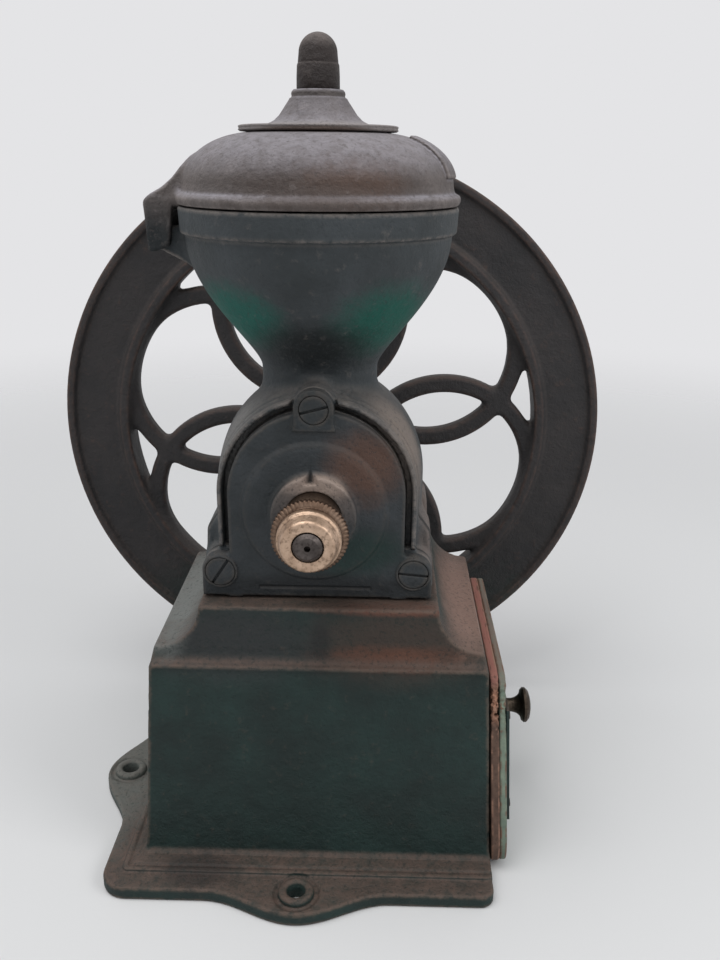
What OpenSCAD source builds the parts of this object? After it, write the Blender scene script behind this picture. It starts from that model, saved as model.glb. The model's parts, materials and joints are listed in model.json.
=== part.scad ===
// Hand-turned coffee grinder with a cast iron flywheel, a hopper with a hinged lid and a wooden drawer.
// The origin is under the middle of the foot, below the hopper's axis. The shaft lies along Y,
// the adjusting nut is at the front (-Y), the flywheel at the back (+Y) and the drawer at +X.

/* [Foot] */
// Thickness of the foot flange at its edge
foot_t = 6.5; // [5:0.5:9]
// Height of the step that runs round the box
foot_step = 1.2; // [0.6:0.2:2]
// Width of the raised step outside the box
step_lip = 8.5; // [6:0.5:12]
// Width of the raised step at the front and back
step_lip_front = 12.5; // [8:0.5:14]
// How far the flange reaches past the box at the hinge side
foot_lip_side = 17; // [13:1:20]
// How far the flange reaches past the box at the front and back
foot_lip_front = 22.5; // [20:0.5:28]
// Corner radius of the flange at the hinge side
foot_corner_r = 12; // [6:1:16]
// How far the front and back screw ears swell out of the flange
ear_out = 12.5; // [10:0.5:18]
// How far the side ear swells out of the flange
side_ear_out = 17.5; // [12:0.5:20]
// Half length of each ear's swelling
ear_half = 42; // [34:1:48]
// Diameter of the screw holes in the ears
ear_hole_d = 7.5; // [5:0.5:9]
// Outside diameter of the raised ring round each screw hole
ear_ring_d = 14; // [12:0.5:16]
// Diameter of the sunk seat round that ring
ear_seat_d = 19.5; // [18:0.5:22]
// Place of the side ear along Y
side_ear_y = -10; // [-20:1:20]

/* [Base box] */
// Width of the box at the foot
base_w = 160.4; // [156:0.4:166]
// Depth of the box at the foot
base_d = 139; // [134:1:140]
// How far each side leans in up to the box's upper edge
side_draft = 3.9; // [2:0.1:5]
// How far the front and back lean in up to the box's upper edge
front_draft = 13.3; // [11:0.1:14]
// Height of the box's upper edge
box_edge_z = 97.4; // [95:0.2:100]
// Height of the seat that carries the housing
seat_z = 127; // [124:1:132]
// Width of the shoulder at the seat
seat_w = 106.6; // [106:0.2:110]
// Depth of the shoulder at the seat
seat_d = 104.4; // [100:0.4:106]
// Wall of the base casting
base_wall = 5.5; // [4:0.5:6]
// Thickness of the seat
seat_t = 6; // [5:0.5:8]
// Sideways offset of the base from the shaft
base_shift = 2; // [0:0.5:2]
// Width of the chute through the seat
chute_w = 40; // [30:1:44]
// Distance of the chute's back edge behind the hopper's axis
chute_back = 16; // [8:1:18]

/* [Housing and hopper] */
// Height of the shaft
shaft_z = 168.5; // [167:0.5:173]
// Height of the barrel's middle, a little over the shaft
barrel_z = 175; // [172:0.5:177]
// Outside radius of the barrel
barrel_r = 47; // [46:0.5:50]
// Width of the housing's feet
housing_foot_w = 102.8; // [102:0.2:104]
// Sideways offset of the housing from the shaft
housing_shift = 0.8; // [0:0.1:1]
// Distance from the hopper's axis to the face that carries the front plate
barrel_front = 38; // [37:0.5:40]
// Distance from the hopper's axis to the back of the barrel
barrel_back = 40; // [38:0.5:42]
// Radius of the bean chamber
chamber_r = 30; // [28:0.5:31]
// Thickness of the wall that carries the rear bush
rear_wall = 8; // [6:0.5:10]
// Outside radius of the neck
neck_r = 26.2; // [24:0.2:28]
// Height where the neck meets the bowl
neck_z = 222; // [220:1:226]
// Height of the hopper's rim
rim_z = 294; // [288:1:300]
// Outside radius of the hopper's rim
rim_r = 60.2; // [57:0.1:62]
// Height of the band under the rim
rim_band_h = 11; // [8:0.5:13]
// How far the band stands out of the bowl
rim_band_out = 2.5; // [1.5:0.5:3]
// Wall of the hopper
hopper_wall = 4.5; // [3.5:0.5:6]
// Radius of the throat
throat_r = 19; // [16:0.5:20]
// Diameter of the bolts that hold the housing on the base
housing_bolt_d = 6; // [5:0.5:6]

/* [Front plate] */
// Radius of the plate's arch
plate_r = 38.6; // [37:0.1:39]
// Thickness of the plate
plate_t = 5; // [4:0.5:6]
// Gap between the plate's lower edge and the seat
plate_gap = 0.8; // [0.4:0.2:1.2]
// Radius of the raised round field
field_r = 32.2; // [29:0.2:33]
// Height of the raised round field
field_h = 1.5; // [1:0.5:2]
// Radius of the collar that holds the adjusting nut
collar_r = 17.4; // [17.2:0.1:19]
// How far the collar stands out of the plate
collar_h = 7; // [6:0.5:8]
// Half the distance between the two lower screws
screw_x = 42.9; // [42.5:0.1:43.5]
// Height of the two lower screws over the seat
screw_up = 12.9; // [12:0.1:14]
// Height of the upper screw over the shaft
top_screw_up = 46; // [44:0.5:47]
// Diameter of the screw heads
screw_head_d = 11.8; // [10:0.2:13]
// Diameter of the screw shanks
screw_d = 6; // [5:0.5:6]

/* [Shaft and burrs] */
// Diameter of the main shaft
shaft_d = 12; // [11:0.5:12.5]
// How far the shaft's end stands out of the front plate
shaft_out = 38.8; // [38:0.2:42]
// Running clearance of the shaft and sleeve, on the radius
fit_gap = 0.05; // [0.02:0.01:0.09]
// Outside radius of the fixed burr ring
ring_r = 34; // [33:0.5:35]
// Length of the fixed burr ring
ring_len = 20; // [18:1:22]
// Large radius of the turning burr
cone_big_r = 24.5; // [23:0.5:25]
// Small radius of the turning burr
cone_small_r = 12.5; // [11.5:0.5:14]
// Gap between the burrs at the fine end
burr_gap = 1.2; // [1:0.1:1.8]
// Number of teeth of the turning burr
cone_teeth = 12; // [8:1:16]
// Number of teeth of the fixed burr
ring_teeth = 18; // [12:1:24]
// Radius of the thrust sleeve
sleeve_r = 9; // [8:0.5:10]
// Radius of the feed screw
auger_r = 17; // [14:0.5:18]
// Length of the feed screw
auger_len = 22; // [18:1:24]
// Radius of the shaft spring's coil, at the middle of its wire
spring_r = 9.3; // [9:0.1:11]
// Diameter of the shaft spring's wire
spring_wire_d = 1.8; // [1.2:0.1:2]
// Number of turns of the shaft spring
spring_turns = 4; // [3:1:6]

/* [Adjusting nut] */
// Diameter over the knurl
nut_d = 32.2; // [30:0.2:34]
// Length of the knurled rim
knurl_len = 4.3; // [3.5:0.1:6]
// Length of the nut's neck between the collar and the knurl
neck_len = 15.5; // [12:0.5:17]
// Number of grooves in the knurl
knurl_count = 40; // [24:1:48]
// Diameter of the nut's flat front face
nut_face_d = 22.2; // [20:0.2:25]
// Radius of the nut's spigot inside the collar
spigot_r = 12; // [11.5:0.1:12.5]
// Free axial travel of the nut each way
nut_travel = 0.75; // [0.5:0.05:0.8]

/* [Flywheel] */
// Outside diameter of the flywheel
wheel_d = 300; // [280:5:310]
// Width of the rim along the shaft
wheel_t = 18; // [16:1:20]
// Distance of the rim's front face behind the hopper's axis
wheel_y = 84; // [82:1:90]
// Radial width of the rim
rim_w = 35.2; // [32:0.4:40]
// Width of the bead at the rim's outer edge
outer_bead = 4; // [3:0.5:6]
// Width of the bead at the rim's inner edge
inner_bead = 5; // [3:0.5:7]
// How far the beads stand over the rim's flat web
bead_h = 2.5; // [1.5:0.5:3.5]
// Number of rings in the wheel's pattern
petals = 6; // [5:1:7]
// How far each ring of the wheel's pattern runs into the rim
rim_bite = 3.8; // [3:0.2:4.6]
// How far each ring of the wheel's pattern runs into the hub
hub_bite = 0.6; // [0.4:0.2:3]
// Turn of the pattern, from +X
petal_turn = -20.4; // [-30:0.2:30]
// Width of each ring's band
band_w = 9.6; // [8:0.2:12]
// Chamfer along each ring's edges
band_chamfer = 2.4; // [1:0.2:3]
// Thickness of each ring's band
band_t = 9; // [7:0.5:11]
// Radius of the wheel's hub
hub_r = 20; // [18:0.5:23]
// Length of the wheel's hub
hub_len = 30; // [26:1:32]

/* [Crank handle] */
// Length of the wooden grip
grip_len = 92; // [80:1:110]
// Largest diameter of the grip
grip_d = 30; // [26:1:34]
// Diameter of the handle's spindle
spindle_d = 8; // [7:0.5:9]
// Place of the handle round the rim at rest, from +X
handle_turn = 270; // [0:5:355]

/* [Lid] */
// Radius of the lid's flange
lid_r = 60.8; // [58.5:0.1:62]
// Thickness of the lid's flange
lid_flange_t = 4.4; // [3.5:0.1:5]
// Height of the dome over the flange
dome_h = 24.4; // [22:0.1:28]
// Wall of the lid
lid_wall = 4.5; // [3.5:0.5:5.5]
// Radius of the disc under the knob
disc_r = 33.7; // [30:0.1:36]
// Thickness of that disc
disc_t = 2.6; // [2:0.1:4]
// Height of the flared pedestal over the disc
pedestal_h = 13.8; // [11:0.2:16]
// Radius of the knob
knob_r = 9; // [8:0.1:10]
// Height of the knob
knob_h = 21.8; // [19:0.2:26]
// Distance of the hinge pin from the hopper's axis
hinge_x = 68.5; // [68:0.5:71]
// Depth of the hinge pin below the rim
hinge_down = 13; // [12:0.5:14]
// Width of the hinge's middle knuckle
knuckle_w = 10; // [8:1:14]
// Thickness of each hinge cheek of the lid
cheek_t = 5; // [4:0.5:7]
// Diameter of the hinge pin
pin_d = 4; // [3:0.5:4.5]

/* [Drawer] */
// Outside width of the drawer's tray
tray_w = 86; // [78:1:88]
// Height of the drawer's sides
tray_h = 68; // [60:1:72]
// Space between the tray's back and the box's far wall
tray_back_gap = 13.6; // [13:0.2:26]
// Thickness of the tray's sides and back
tray_wall = 7; // [5:0.5:9]
// Thickness of the tray's floor
tray_floor = 4; // [3:0.5:5]
// Place of the drawer's middle along Y
drawer_y = -5.5; // [-7:0.5:-2]
// Thickness of the drawer's wooden front
front_t = 4.9; // [4:0.1:6]
// Thickness of the painted facing on the front
facing_t = 2.2; // [2:0.1:5]
// Height of the front's upper edge
front_top_z = 95; // [90:0.5:97]
// Height of the front's lower edge over the table
front_low_z = 2; // [1.5:0.5:5]
// Running clearance round the tray
tray_gap = 0.6; // [0.3:0.1:1]
// Diameter of the drawer knob
pull_d = 17.6; // [15:0.2:20]
// How far the drawer knob stands out
pull_out = 19; // [17:0.5:24]
// Height of the drawer knob
pull_z = 48; // [40:1:52]
// Thickness of the iron plate on the drawer's front
badge_t = 1.2; // [0.8:0.1:1.6]
// Height of that plate's lower edge over the table
badge_low_z = 27; // [20:1:34]
// Height of that plate's upper edge over the table
badge_top_z = 80; // [70:1:84]
// Distance of that plate's far end from the drawer's middle
badge_far = 47; // [40:1:48]

/* [Hidden] */
$fn = 64;
// Clearance between pieces of one casting group that touch without moving
seat_gap = 0.02;
// How far cutting shapes run past the faces they cut
over = 1;

iron = "#3a3a38";
dark_iron = "#2e3230";
dusty_iron = "#6d625c";
steel = "#5a5450";
brass = "#b08a6c";
wood = "#7a4d38";
paint = "#8fa08c";

foot_top = foot_t + foot_step;
half_w = base_w / 2;
half_d = base_d / 2;
edge_half_w = half_w - side_draft;
edge_half_d = half_d - front_draft;
seat_half_w = seat_w / 2;
seat_half_d = seat_d / 2;
foot_left = base_shift - half_w - foot_lip_side;
foot_right = base_shift + half_w;
foot_half_d = half_d + foot_lip_front;
front_ear_x = -6;
ear_hole_y = foot_half_d;
side_hole_x = foot_left - 6;
lip_h = 8.6;
lip_in = 2;
rail_t = 3;
rail_h = 12;
bolt_x = 37;
bolt_y = 20;
bolt_r = housing_bolt_d / 2;
bolt_len = 20;
foot_half = housing_foot_w / 2;
wing_up = 28;
wing_rise = 6;
wing_front = 8;
wing_len = 20;
lug_r = 8.3;
top_lug_r = 8.6;
groove_low_z = seat_z + 23;
bore_depth = 13.2;
top_screw_z = shaft_z + top_screw_up;
low_screw_z = seat_z + screw_up;
bush_r = 10;
bush_flange_r = 13;
bush_flange_t = 3;
shaft_r = shaft_d / 2;
plate_back = -barrel_front;
plate_face = plate_back - plate_t;
collar_face = plate_face - collar_h;
shaft_end = plate_face - shaft_out;
burr_pin_r = 1.5;
key_r = 2;
key_len = 10;
sleeve_back = plate_back + 4.8;
sleeve_step = plate_face;
nut_back = collar_face - nut_travel - 0.45;
spigot_end = sleeve_step - nut_travel - 0.45;
sleeve_front = spigot_end + 0.3;
knurl_back = nut_back - neck_len;
knurl_front = knurl_back - knurl_len;
nut_face = shaft_end + 1;
cone_front = sleeve_back + 0.3;
cone_rim = 1.4;
cone_back = cone_front + 24;
ring_front = plate_back + 7;
ring_back = ring_front + ring_len;
feed_y0 = cone_back + 0.5;
feed_y1 = feed_y0 + auger_len;
wheel_r = wheel_d / 2;
rim_in = wheel_r - rim_w;
wheel_mid = wheel_y + wheel_t / 2;
hub_front = wheel_mid - hub_len / 2;
hub_back = wheel_mid + hub_len / 2;
petal_out = (rim_in + rim_bite + hub_r - hub_bite) / 2;
petal_r = (rim_in + rim_bite - hub_r + hub_bite) / 2;
band_half = band_t / 2;
handle_r = rim_in + rim_w / 2;
handle_x = handle_r * cos(handle_turn);
handle_z = shaft_z + handle_r * sin(handle_turn);
web_back = wheel_y + wheel_t - bead_h;
web_front = wheel_y + bead_h;
washer_t = 2;
wheel_nut_t = 8;
stub_r = 5;
lid_z = rim_z + 0.6;
dome_z = lid_z + lid_flange_t + 4;
dome_top = lid_z + lid_flange_t + dome_h;
disc_z = dome_top + 0.02;
pedestal_z = disc_z + disc_t;
knob_z = pedestal_z + pedestal_h;
top_z = knob_z + knob_h;
stud_r = 3;
hinge_z = rim_z - hinge_down;
pin_r = pin_d / 2;
knuckle_r = 6;
cheek_in = knuckle_w / 2 + 0.3;
cheek_out = cheek_in + cheek_t;
side_tilt = atan(side_draft / (box_edge_z - foot_top));
tray_y0 = drawer_y - tray_w / 2;
tray_y1 = drawer_y + tray_w / 2;
tray_z0 = foot_top + 0.3;
tray_z1 = tray_z0 + tray_h;
front_gap = 0.7;
pull_screw_r = 2;
pull_screw_in = 9.5;
pull_bore_r = pull_screw_r + fit_gap;

// Points along an arc of an ellipse
function arc(cx, cy, rx, ry, a0, a1, n = 8) =
    [for (i = [0:n]) let (a = a0 + (a1 - a0) * i / n) [cx + rx * cos(a), cy + ry * sin(a)]];
// A smooth swelling of a straight edge
function swell(t, out, half) = abs(t) >= half ? 0 : out * (1 + cos(180 * t / half)) / 2;
// Half width of the box at a height
function half_w_at(z) = half_w - side_draft * (z - foot_top) / (box_edge_z - foot_top);
// Half depth of the box at a height
function half_d_at(z) = half_d - front_draft * (z - foot_top) / (box_edge_z - foot_top);
// X of the drawer side of the box at a height
function right_x(z) = base_shift + half_w_at(z);
// Outside radius of the bowl at a height between the neck and the band
function bowl_r(z, top_r) =
    let (t = pow((z - neck_z) / (rim_z - rim_band_h - neck_z), 0.75))
    neck_r + (top_r - neck_r) * t * t * (3 - 2 * t);
// Radius of the turning burr at a place along the shaft
function cone_r(y) =
    let (t = (y - cone_front - cone_rim) / (cone_back - cone_front - cone_rim))
    cone_big_r + (cone_small_r - cone_big_r) * t;
// Radius inside the fixed burr ring, wide open where the beans come in
ring_big_r = cone_r(ring_front) + burr_gap;
ring_in_r = ring_big_r - 5.5;
function ring_in(y) = ring_big_r + (ring_in_r - ring_big_r) * (y - ring_front) / ring_len;

// Extrudes an outline drawn in X and Z along Y
module along_y(y0, y1) {
    translate([0, y1, 0])
        rotate([90, 0, 0])
            linear_extrude(y1 - y0)
                children();
}
// Extrudes an outline drawn in Y and Z along X
module along_x(x0, x1) {
    translate([x0, 0, 0])
        rotate([90, 0, 90])
            linear_extrude(x1 - x0)
                children();
}
// A cylinder along Y
module rod_y(r, y0, y1, x = 0, z = shaft_z) {
    translate([x, y1, z])
        rotate([90, 0, 0])
            cylinder(r = r, h = y1 - y0);
}
// Turns a profile of radius and place along Y round the shaft's axis
module turned_y(x = 0, z = shaft_z) {
    translate([x, 0, z])
        rotate([-90, 0, 0])
            rotate_extrude()
                children();
}
// A block between two corners
module block(lo, hi) {
    translate(lo)
        cube(hi - lo);
}
// The barrel's outline: an arch with straight sides down to a height
module arch(r, low_z) {
    translate([housing_shift, barrel_z])
        intersection() {
            circle(r);
            translate([-r, -over])
                square([2 * r, r + 2 * over]);
        }
    translate([housing_shift - r, low_z])
        square([2 * r, barrel_z - low_z]);
}

// Foot, box and shoulder
// Corner and ear of the foot's outline, as lists of points
function foot_round(x, y, r, a0, a1) = arc(x, y, r, r, a0, a1);
ear_steps = [for (i = [-10:10]) ear_half * i / 10];
foot_outline = concat(
    foot_round(foot_right - 6, 6 - foot_half_d, 6, 0, -90),
    [for (t = ear_steps) [front_ear_x - t, -foot_half_d - swell(t, ear_out, ear_half)]],
    foot_round(foot_left + foot_corner_r, foot_corner_r - foot_half_d, foot_corner_r, -90, -180),
    [for (t = ear_steps) [foot_left - swell(t, side_ear_out, ear_half), side_ear_y + t]],
    foot_round(foot_left + foot_corner_r, foot_half_d - foot_corner_r, foot_corner_r, 180, 90),
    [for (t = ear_steps) [front_ear_x + t, foot_half_d + swell(t, ear_out, ear_half)]],
    foot_round(foot_right - 6, foot_half_d - 6, 6, 90, 0)
);
shoulder_w = edge_half_w - lip_in - seat_half_w;
function half_front_view() = concat(
    [[half_w, 0], [half_w, foot_top], [edge_half_w, box_edge_z]],
    arc(edge_half_w - lip_in, seat_z, shoulder_w, seat_z - box_edge_z - lip_h, 270, 180, 12)
);
function half_side_view() = concat(
    [[half_d, 0], [half_d, foot_top], [edge_half_d, box_edge_z], [edge_half_d - 0.4, box_edge_z + 2]],
    arc(edge_half_d - 0.4, box_edge_z + 8, edge_half_d - 0.4 - seat_half_d, 6, 270, 180, 6),
    [[seat_half_d, seat_z]]
);
function mirrored(half) = concat(half, [for (i = [len(half) - 1:-1:0]) [-half[i][0], half[i][1]]]);

module base_outside() {
    intersection() {
        translate([base_shift, 0, 0])
            along_y(-half_d - over, half_d + over)
                polygon(mirrored(half_front_view()));
        along_x(-base_w, base_w)
            polygon(mirrored(half_side_view()));
    }
}
module base_cavity() {
    intersection() {
        translate([base_shift, 0, 0])
            along_y(-half_d, half_d)
                polygon(mirrored([
                    [half_w - base_wall, foot_top],
                    [edge_half_w - base_wall, box_edge_z - base_wall],
                    [seat_half_w - base_wall, box_edge_z + 4],
                    [seat_half_w - base_wall, seat_z - seat_t]
                ]));
        along_x(-base_w, base_w)
            polygon(mirrored([
                [half_d - base_wall, foot_top],
                [edge_half_d - base_wall, box_edge_z],
                [seat_half_d - base_wall, box_edge_z + 4],
                [seat_half_d - base_wall, seat_z - seat_t]
            ]));
    }
}
module ear_places() {
    translate([front_ear_x, -ear_hole_y, 0])
        children();
    translate([front_ear_x, ear_hole_y, 0])
        children();
    translate([side_hole_x, side_ear_y, 0])
        children();
}
module bolt_places() {
    for (x = [-bolt_x, bolt_x], y = [-bolt_y, bolt_y])
        translate([x, y, 0])
            children();
}
module base_casting() {
    color(dark_iron)
    difference() {
        union() {
            linear_extrude(foot_t)
                polygon(foot_outline);
            block(
                [foot_left + foot_lip_side - step_lip, -half_d - step_lip_front, 0],
                [foot_right, half_d + step_lip_front, foot_top]
            );
            difference() {
                base_outside();
                base_cavity();
            }
            for (side = [-1, 1])
                translate([0, drawer_y + side * (tray_w / 2 + tray_gap + rail_t / 2), 0])
                    block(
                        [tray_x0, -rail_t / 2, foot_t],
                        [right_x(foot_top) - base_wall + over, rail_t / 2, foot_top + rail_h]
                    );
            ear_places()
                cylinder(d = ear_ring_d, h = foot_t + 0.9);
        }
        block(
            [foot_right - 14, tray_y0 - tray_gap, foot_top],
            [foot_right + over, tray_y1 + tray_gap, tray_z1 + tray_gap]
        );
        block(
            [-chute_w / 2, -barrel_front, seat_z - seat_t - over],
            [chute_w / 2, chute_back, seat_z + over]
        );
        bolt_places()
            translate([0, 0, seat_z - seat_t - over])
                cylinder(r = bolt_r + 0.1, h = seat_t + 2 * over);
        ear_places() {
            translate([0, 0, -over])
                cylinder(d = ear_hole_d, h = foot_top + 3 * over);
            translate([0, 0, foot_t - 0.7])
                difference() {
                    cylinder(d = ear_seat_d, h = 2 * over);
                    translate([0, 0, -over])
                        cylinder(d = ear_ring_d, h = 4 * over);
                }
        }
    }
}

// Barrel, neck and bowl in one casting
wing_outline = [
    [barrel_r - 8, seat_z], [foot_half + 1, seat_z], [foot_half - 0.6, seat_z + wing_up],
    [barrel_r - 0.5, seat_z + wing_up + wing_rise], [barrel_r - 8, seat_z + wing_up + wing_rise]
];
bowl_steps = 14;
band_z = rim_z - rim_band_h;
bowl_top_r = rim_r - rim_band_out;
bowl_zs = [for (i = [0:bowl_steps]) neck_z + (band_z - neck_z) * i / bowl_steps];
hopper_outline = concat(
    [[0, shaft_z], [neck_r + 1.8, shaft_z], [neck_r + 1.8, neck_z - 13], [neck_r + 0.9, neck_z - 9]],
    [[neck_r + 0.2, neck_z - 5]],
    [for (z = bowl_zs) [bowl_r(z, bowl_top_r), z]],
    [[rim_r - 0.6, band_z], [rim_r, rim_z], [0, rim_z]]
);
bowl_inside = concat(
    [[0, shaft_z], [throat_r, shaft_z], [throat_r, neck_z + 2]],
    [for (i = [3:bowl_steps]) [bowl_r(bowl_zs[i], bowl_top_r) - hopper_wall, bowl_zs[i] + 2]],
    [[bowl_top_r - hopper_wall, rim_z + over], [0, rim_z + over]]
);
// Steps of the barrel's front edge: how far each lies inside the barrel and behind the front face
front_steps = [[3.4, 0], [2.4, 2], [1.4, 6], [0.6, 11], [0, 15]];
module screw_boss(x, z, r, low_z, y0, y1) {
    rod_y(r, y0, y1, x, z);
    along_y(y0, y1)
        translate([x - r, low_z])
            square([2 * r, z - low_z]);
}
module low_lug_places() {
    for (side = [-1, 1])
        translate([housing_shift + side * screw_x, 0, 0])
            children();
}
module barrel_outside() {
    for (step = front_steps)
        along_y(-barrel_front + step[1], barrel_back - step[1])
            arch(barrel_r - step[0], seat_z);
    translate([housing_shift, 0, 0])
        for (side = [0, 1])
            mirror([side, 0, 0]) {
                along_y(-barrel_front + wing_front, -barrel_front + wing_front + wing_len)
                    polygon(wing_outline);
                along_y(barrel_back - wing_front - wing_len, barrel_back - wing_front)
                    polygon(wing_outline);
            }
    low_lug_places()
        screw_boss(0, low_screw_z, lug_r, seat_z, -barrel_front, -barrel_front + 14);
    screw_boss(0, top_screw_z, top_lug_r, barrel_z, -barrel_front, -barrel_front + 14);
    rotate_extrude()
        polygon(hopper_outline);
    difference() {
        along_y(-barrel_front - 2, -barrel_front + over)
            arch(barrel_r - front_steps[0][0], groove_low_z);
        along_y(-barrel_front - 3, -barrel_front + 2 * over)
            arch(plate_r + 3, seat_z);
        screw_boss(0, top_screw_z, top_lug_r + 1.2, barrel_z, -barrel_front - 3, -barrel_front + 2 * over);
    }
}
module hinge_lug() {
    rod_y(knuckle_r, -knuckle_w / 2, knuckle_w / 2, -hinge_x, hinge_z);
    along_y(-knuckle_w / 2, knuckle_w / 2)
        polygon([
            [-hinge_x, hinge_z - knuckle_r], [-bowl_top_r + 3, hinge_z - knuckle_r - 7],
            [-bowl_top_r + 3, hinge_z + 4], [-hinge_x, hinge_z + 4]
        ]);
}
module hopper_housing() {
    color(iron)
    difference() {
        union() {
            barrel_outside();
            hinge_lug();
        }
        rotate_extrude()
            polygon(bowl_inside);
        rod_y(ring_r + fit_gap, -barrel_front - over, ring_back + 0.3);
        rod_y(chamber_r, ring_back, barrel_back - rear_wall);
        rod_y(bush_r + seat_gap, barrel_back - rear_wall - over, barrel_back + over);
        block(
            [-chute_w / 2 + 2, plate_back - over, seat_z - over],
            [chute_w / 2 - 2, ring_front, shaft_z - ring_r + 6]
        );
        difference() {
            along_y(-barrel_front - 3, -barrel_front + 5)
                difference() {
                    arch(plate_r + 3, groove_low_z);
                    arch(plate_r + 0.3, seat_z);
                }
            screw_boss(0, top_screw_z, top_lug_r + 0.6, barrel_z, -barrel_front, -barrel_front + 6);
        }
        low_lug_places()
            rod_y(screw_d / 2 + seat_gap, -barrel_front - over, -barrel_front + bore_depth, 0, low_screw_z);
        rod_y(screw_d / 2 + seat_gap, -barrel_front - over, -barrel_front + bore_depth, 0, top_screw_z);
        bolt_places()
            translate([0, 0, seat_z - over])
                cylinder(r = bolt_r + seat_gap, h = bolt_len - seat_t + 0.4 + over);
        rod_y(pin_r + fit_gap, -knuckle_w, knuckle_w, -hinge_x, hinge_z);
        rod_y(key_r + 0.05, ring_front - over, ring_front + key_len + 0.3, 0, shaft_z - ring_r);
    }
}
module housing_bolts() {
    color(steel)
    bolt_places()
        difference() {
            union() {
                translate([0, 0, seat_z - seat_t - over])
                    cylinder(r = bolt_r, h = bolt_len + over);
                translate([0, 0, seat_z - seat_t - 4.5 - seat_gap])
                    cylinder(r = bolt_r * 1.7, h = 4.5);
            }
            translate([0, 0, seat_z - seat_t - 4.5])
                cube([20, 1.4, 3], center = true);
        }
}

// Front plate with its collar
module plate_outline() {
    low = seat_z + plate_gap;
    difference() {
        arch(plate_r, low);
        translate([housing_shift - plate_r - over, low - over])
            square([2 * plate_r + 2 * over, over]);
    }
    for (side = [-1, 1])
        translate([housing_shift + side * screw_x, low_screw_z]) {
            circle(lug_r);
            translate([-lug_r, low - low_screw_z])
                square([2 * lug_r, screw_up - plate_gap]);
        }
}
// A raised tab round the upper screw, a little wider at its foot
module top_tab(r) {
    rod_y(r, plate_face - tab_h, plate_back, 0, top_screw_z);
    along_y(plate_face - tab_h, plate_back)
        polygon([
            [-r, top_screw_z], [-r, top_screw_z - 6], [-r - 1, top_screw_z - 9.5],
            [r + 1, top_screw_z - 9.5], [r, top_screw_z - 6], [r, top_screw_z]
        ]);
}
module plate_screw_places() {
    low_lug_places()
        translate([0, 0, low_screw_z])
            children();
    translate([0, 0, top_screw_z])
        children();
}
tab_h = 1.2;
module front_plate() {
    low = seat_z + plate_gap;
    color(dark_iron)
    difference() {
        union() {
            along_y(plate_face, plate_back)
                plate_outline();
            rod_y(field_r, plate_face - field_h, plate_face + over);
            turned_y()
                polygon([
                    [0, plate_back], [collar_r + 4, plate_face], [collar_r + 1.6, plate_face - field_h],
                    [collar_r, plate_face - field_h - 1], [collar_r, collar_face + 1.2],
                    [collar_r - 1.2, collar_face], [0, collar_face]
                ]);
            low_lug_places()
                rod_y(lug_r - 0.4, plate_face - tab_h, plate_face + over, 0, low_screw_z);
            top_tab(top_lug_r);
            difference() {
                rod_y(ring_r - 0.1, plate_back - over, ring_front - 0.2);
                rod_y(ring_r - 5, plate_back, ring_front + over);
                block(
                    [-chute_w / 2, plate_back, shaft_z - ring_r - over],
                    [chute_w / 2, ring_front + over, shaft_z]
                );
            }
        }
        rod_y(sleeve_r + fit_gap, plate_face - over, plate_back + over);
        rod_y(spigot_r + fit_gap, collar_face - over, sleeve_step);
        plate_screw_places() {
            rod_y(screw_d / 2 + 0.1, plate_face - 3, plate_back + over, 0, 0);
            rod_y(screw_head_d / 2 + 0.15, plate_face - 3, plate_face + 2, 0, 0);
        }
        block([-25, plate_face - over, low + 3.8], [25, plate_face + 1, low + 5.2]);
        translate([-1.4, 0, shaft_z + collar_r - 1.4])
            linear_extrude(4)
                polygon([[-2.4, collar_face - over], [2.4, collar_face - over], [0, plate_face - field_h]]);
    }
}
module slotted_screw(x, z, turn) {
    difference() {
        union() {
            rod_y(screw_head_d / 2, plate_face - 0.9, plate_face + 1.9, x, z);
            rod_y(screw_d / 2, plate_face + over, plate_back + bore_depth - 0.2, x, z);
        }
        translate([x, plate_face - 0.9, z])
            rotate([0, -turn, 0])
                cube([screw_head_d + 2, 2.6, 1.5], center = true);
    }
}
module plate_screws() {
    color(steel) {
        slotted_screw(housing_shift - screw_x, low_screw_z, 57);
        slotted_screw(housing_shift + screw_x, low_screw_z, -5);
        slotted_screw(0, top_screw_z, 15);
    }
}

// Fixed and turning burrs
module burr_ring() {
    color(steel)
    difference() {
        rod_y(ring_r, ring_front, ring_back);
        turned_y()
            polygon([
                [0, ring_front - over], [ring_in(ring_front - over), ring_front - over],
                [ring_in(ring_back + over), ring_back + over], [0, ring_back + over]
            ]);
        for (i = [0:ring_teeth - 1])
            translate([0, ring_front, shaft_z])
                rotate([0, 360 * (i + 0.5) / ring_teeth, 0])
                    translate([0, 0, ring_big_r])
                        rotate([-16, 0, 0])
                            rotate([0, 45, 0])
                                cube([2, 3 * ring_len, 2], center = true);
        rod_y(key_r + 0.05, ring_front - over, ring_front + key_len + 0.3, 0, shaft_z - ring_r);
    }
}
module ring_key() {
    color(steel)
    rod_y(key_r, ring_front, ring_front + key_len, 0, shaft_z - ring_r);
}
module turning_burr() {
    color(steel)
    difference() {
        turned_y()
            polygon([
                [shaft_r + seat_gap, cone_front], [cone_big_r, cone_front],
                [cone_big_r, cone_front + cone_rim], [cone_small_r, cone_back],
                [shaft_r + seat_gap, cone_back]
            ]);
        for (i = [0:cone_teeth - 1])
            translate([0, cone_front, shaft_z])
                rotate([0, 360 * i / cone_teeth, 0])
                    translate([0, 0, cone_big_r + 0.6])
                        rotate([-28, 0, 12])
                            rotate([0, 45, 0])
                                cube([3, 60, 3], center = true);
        cross_pin(burr_pin_r + 0.05, 2 * cone_big_r);
    }
}
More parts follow.
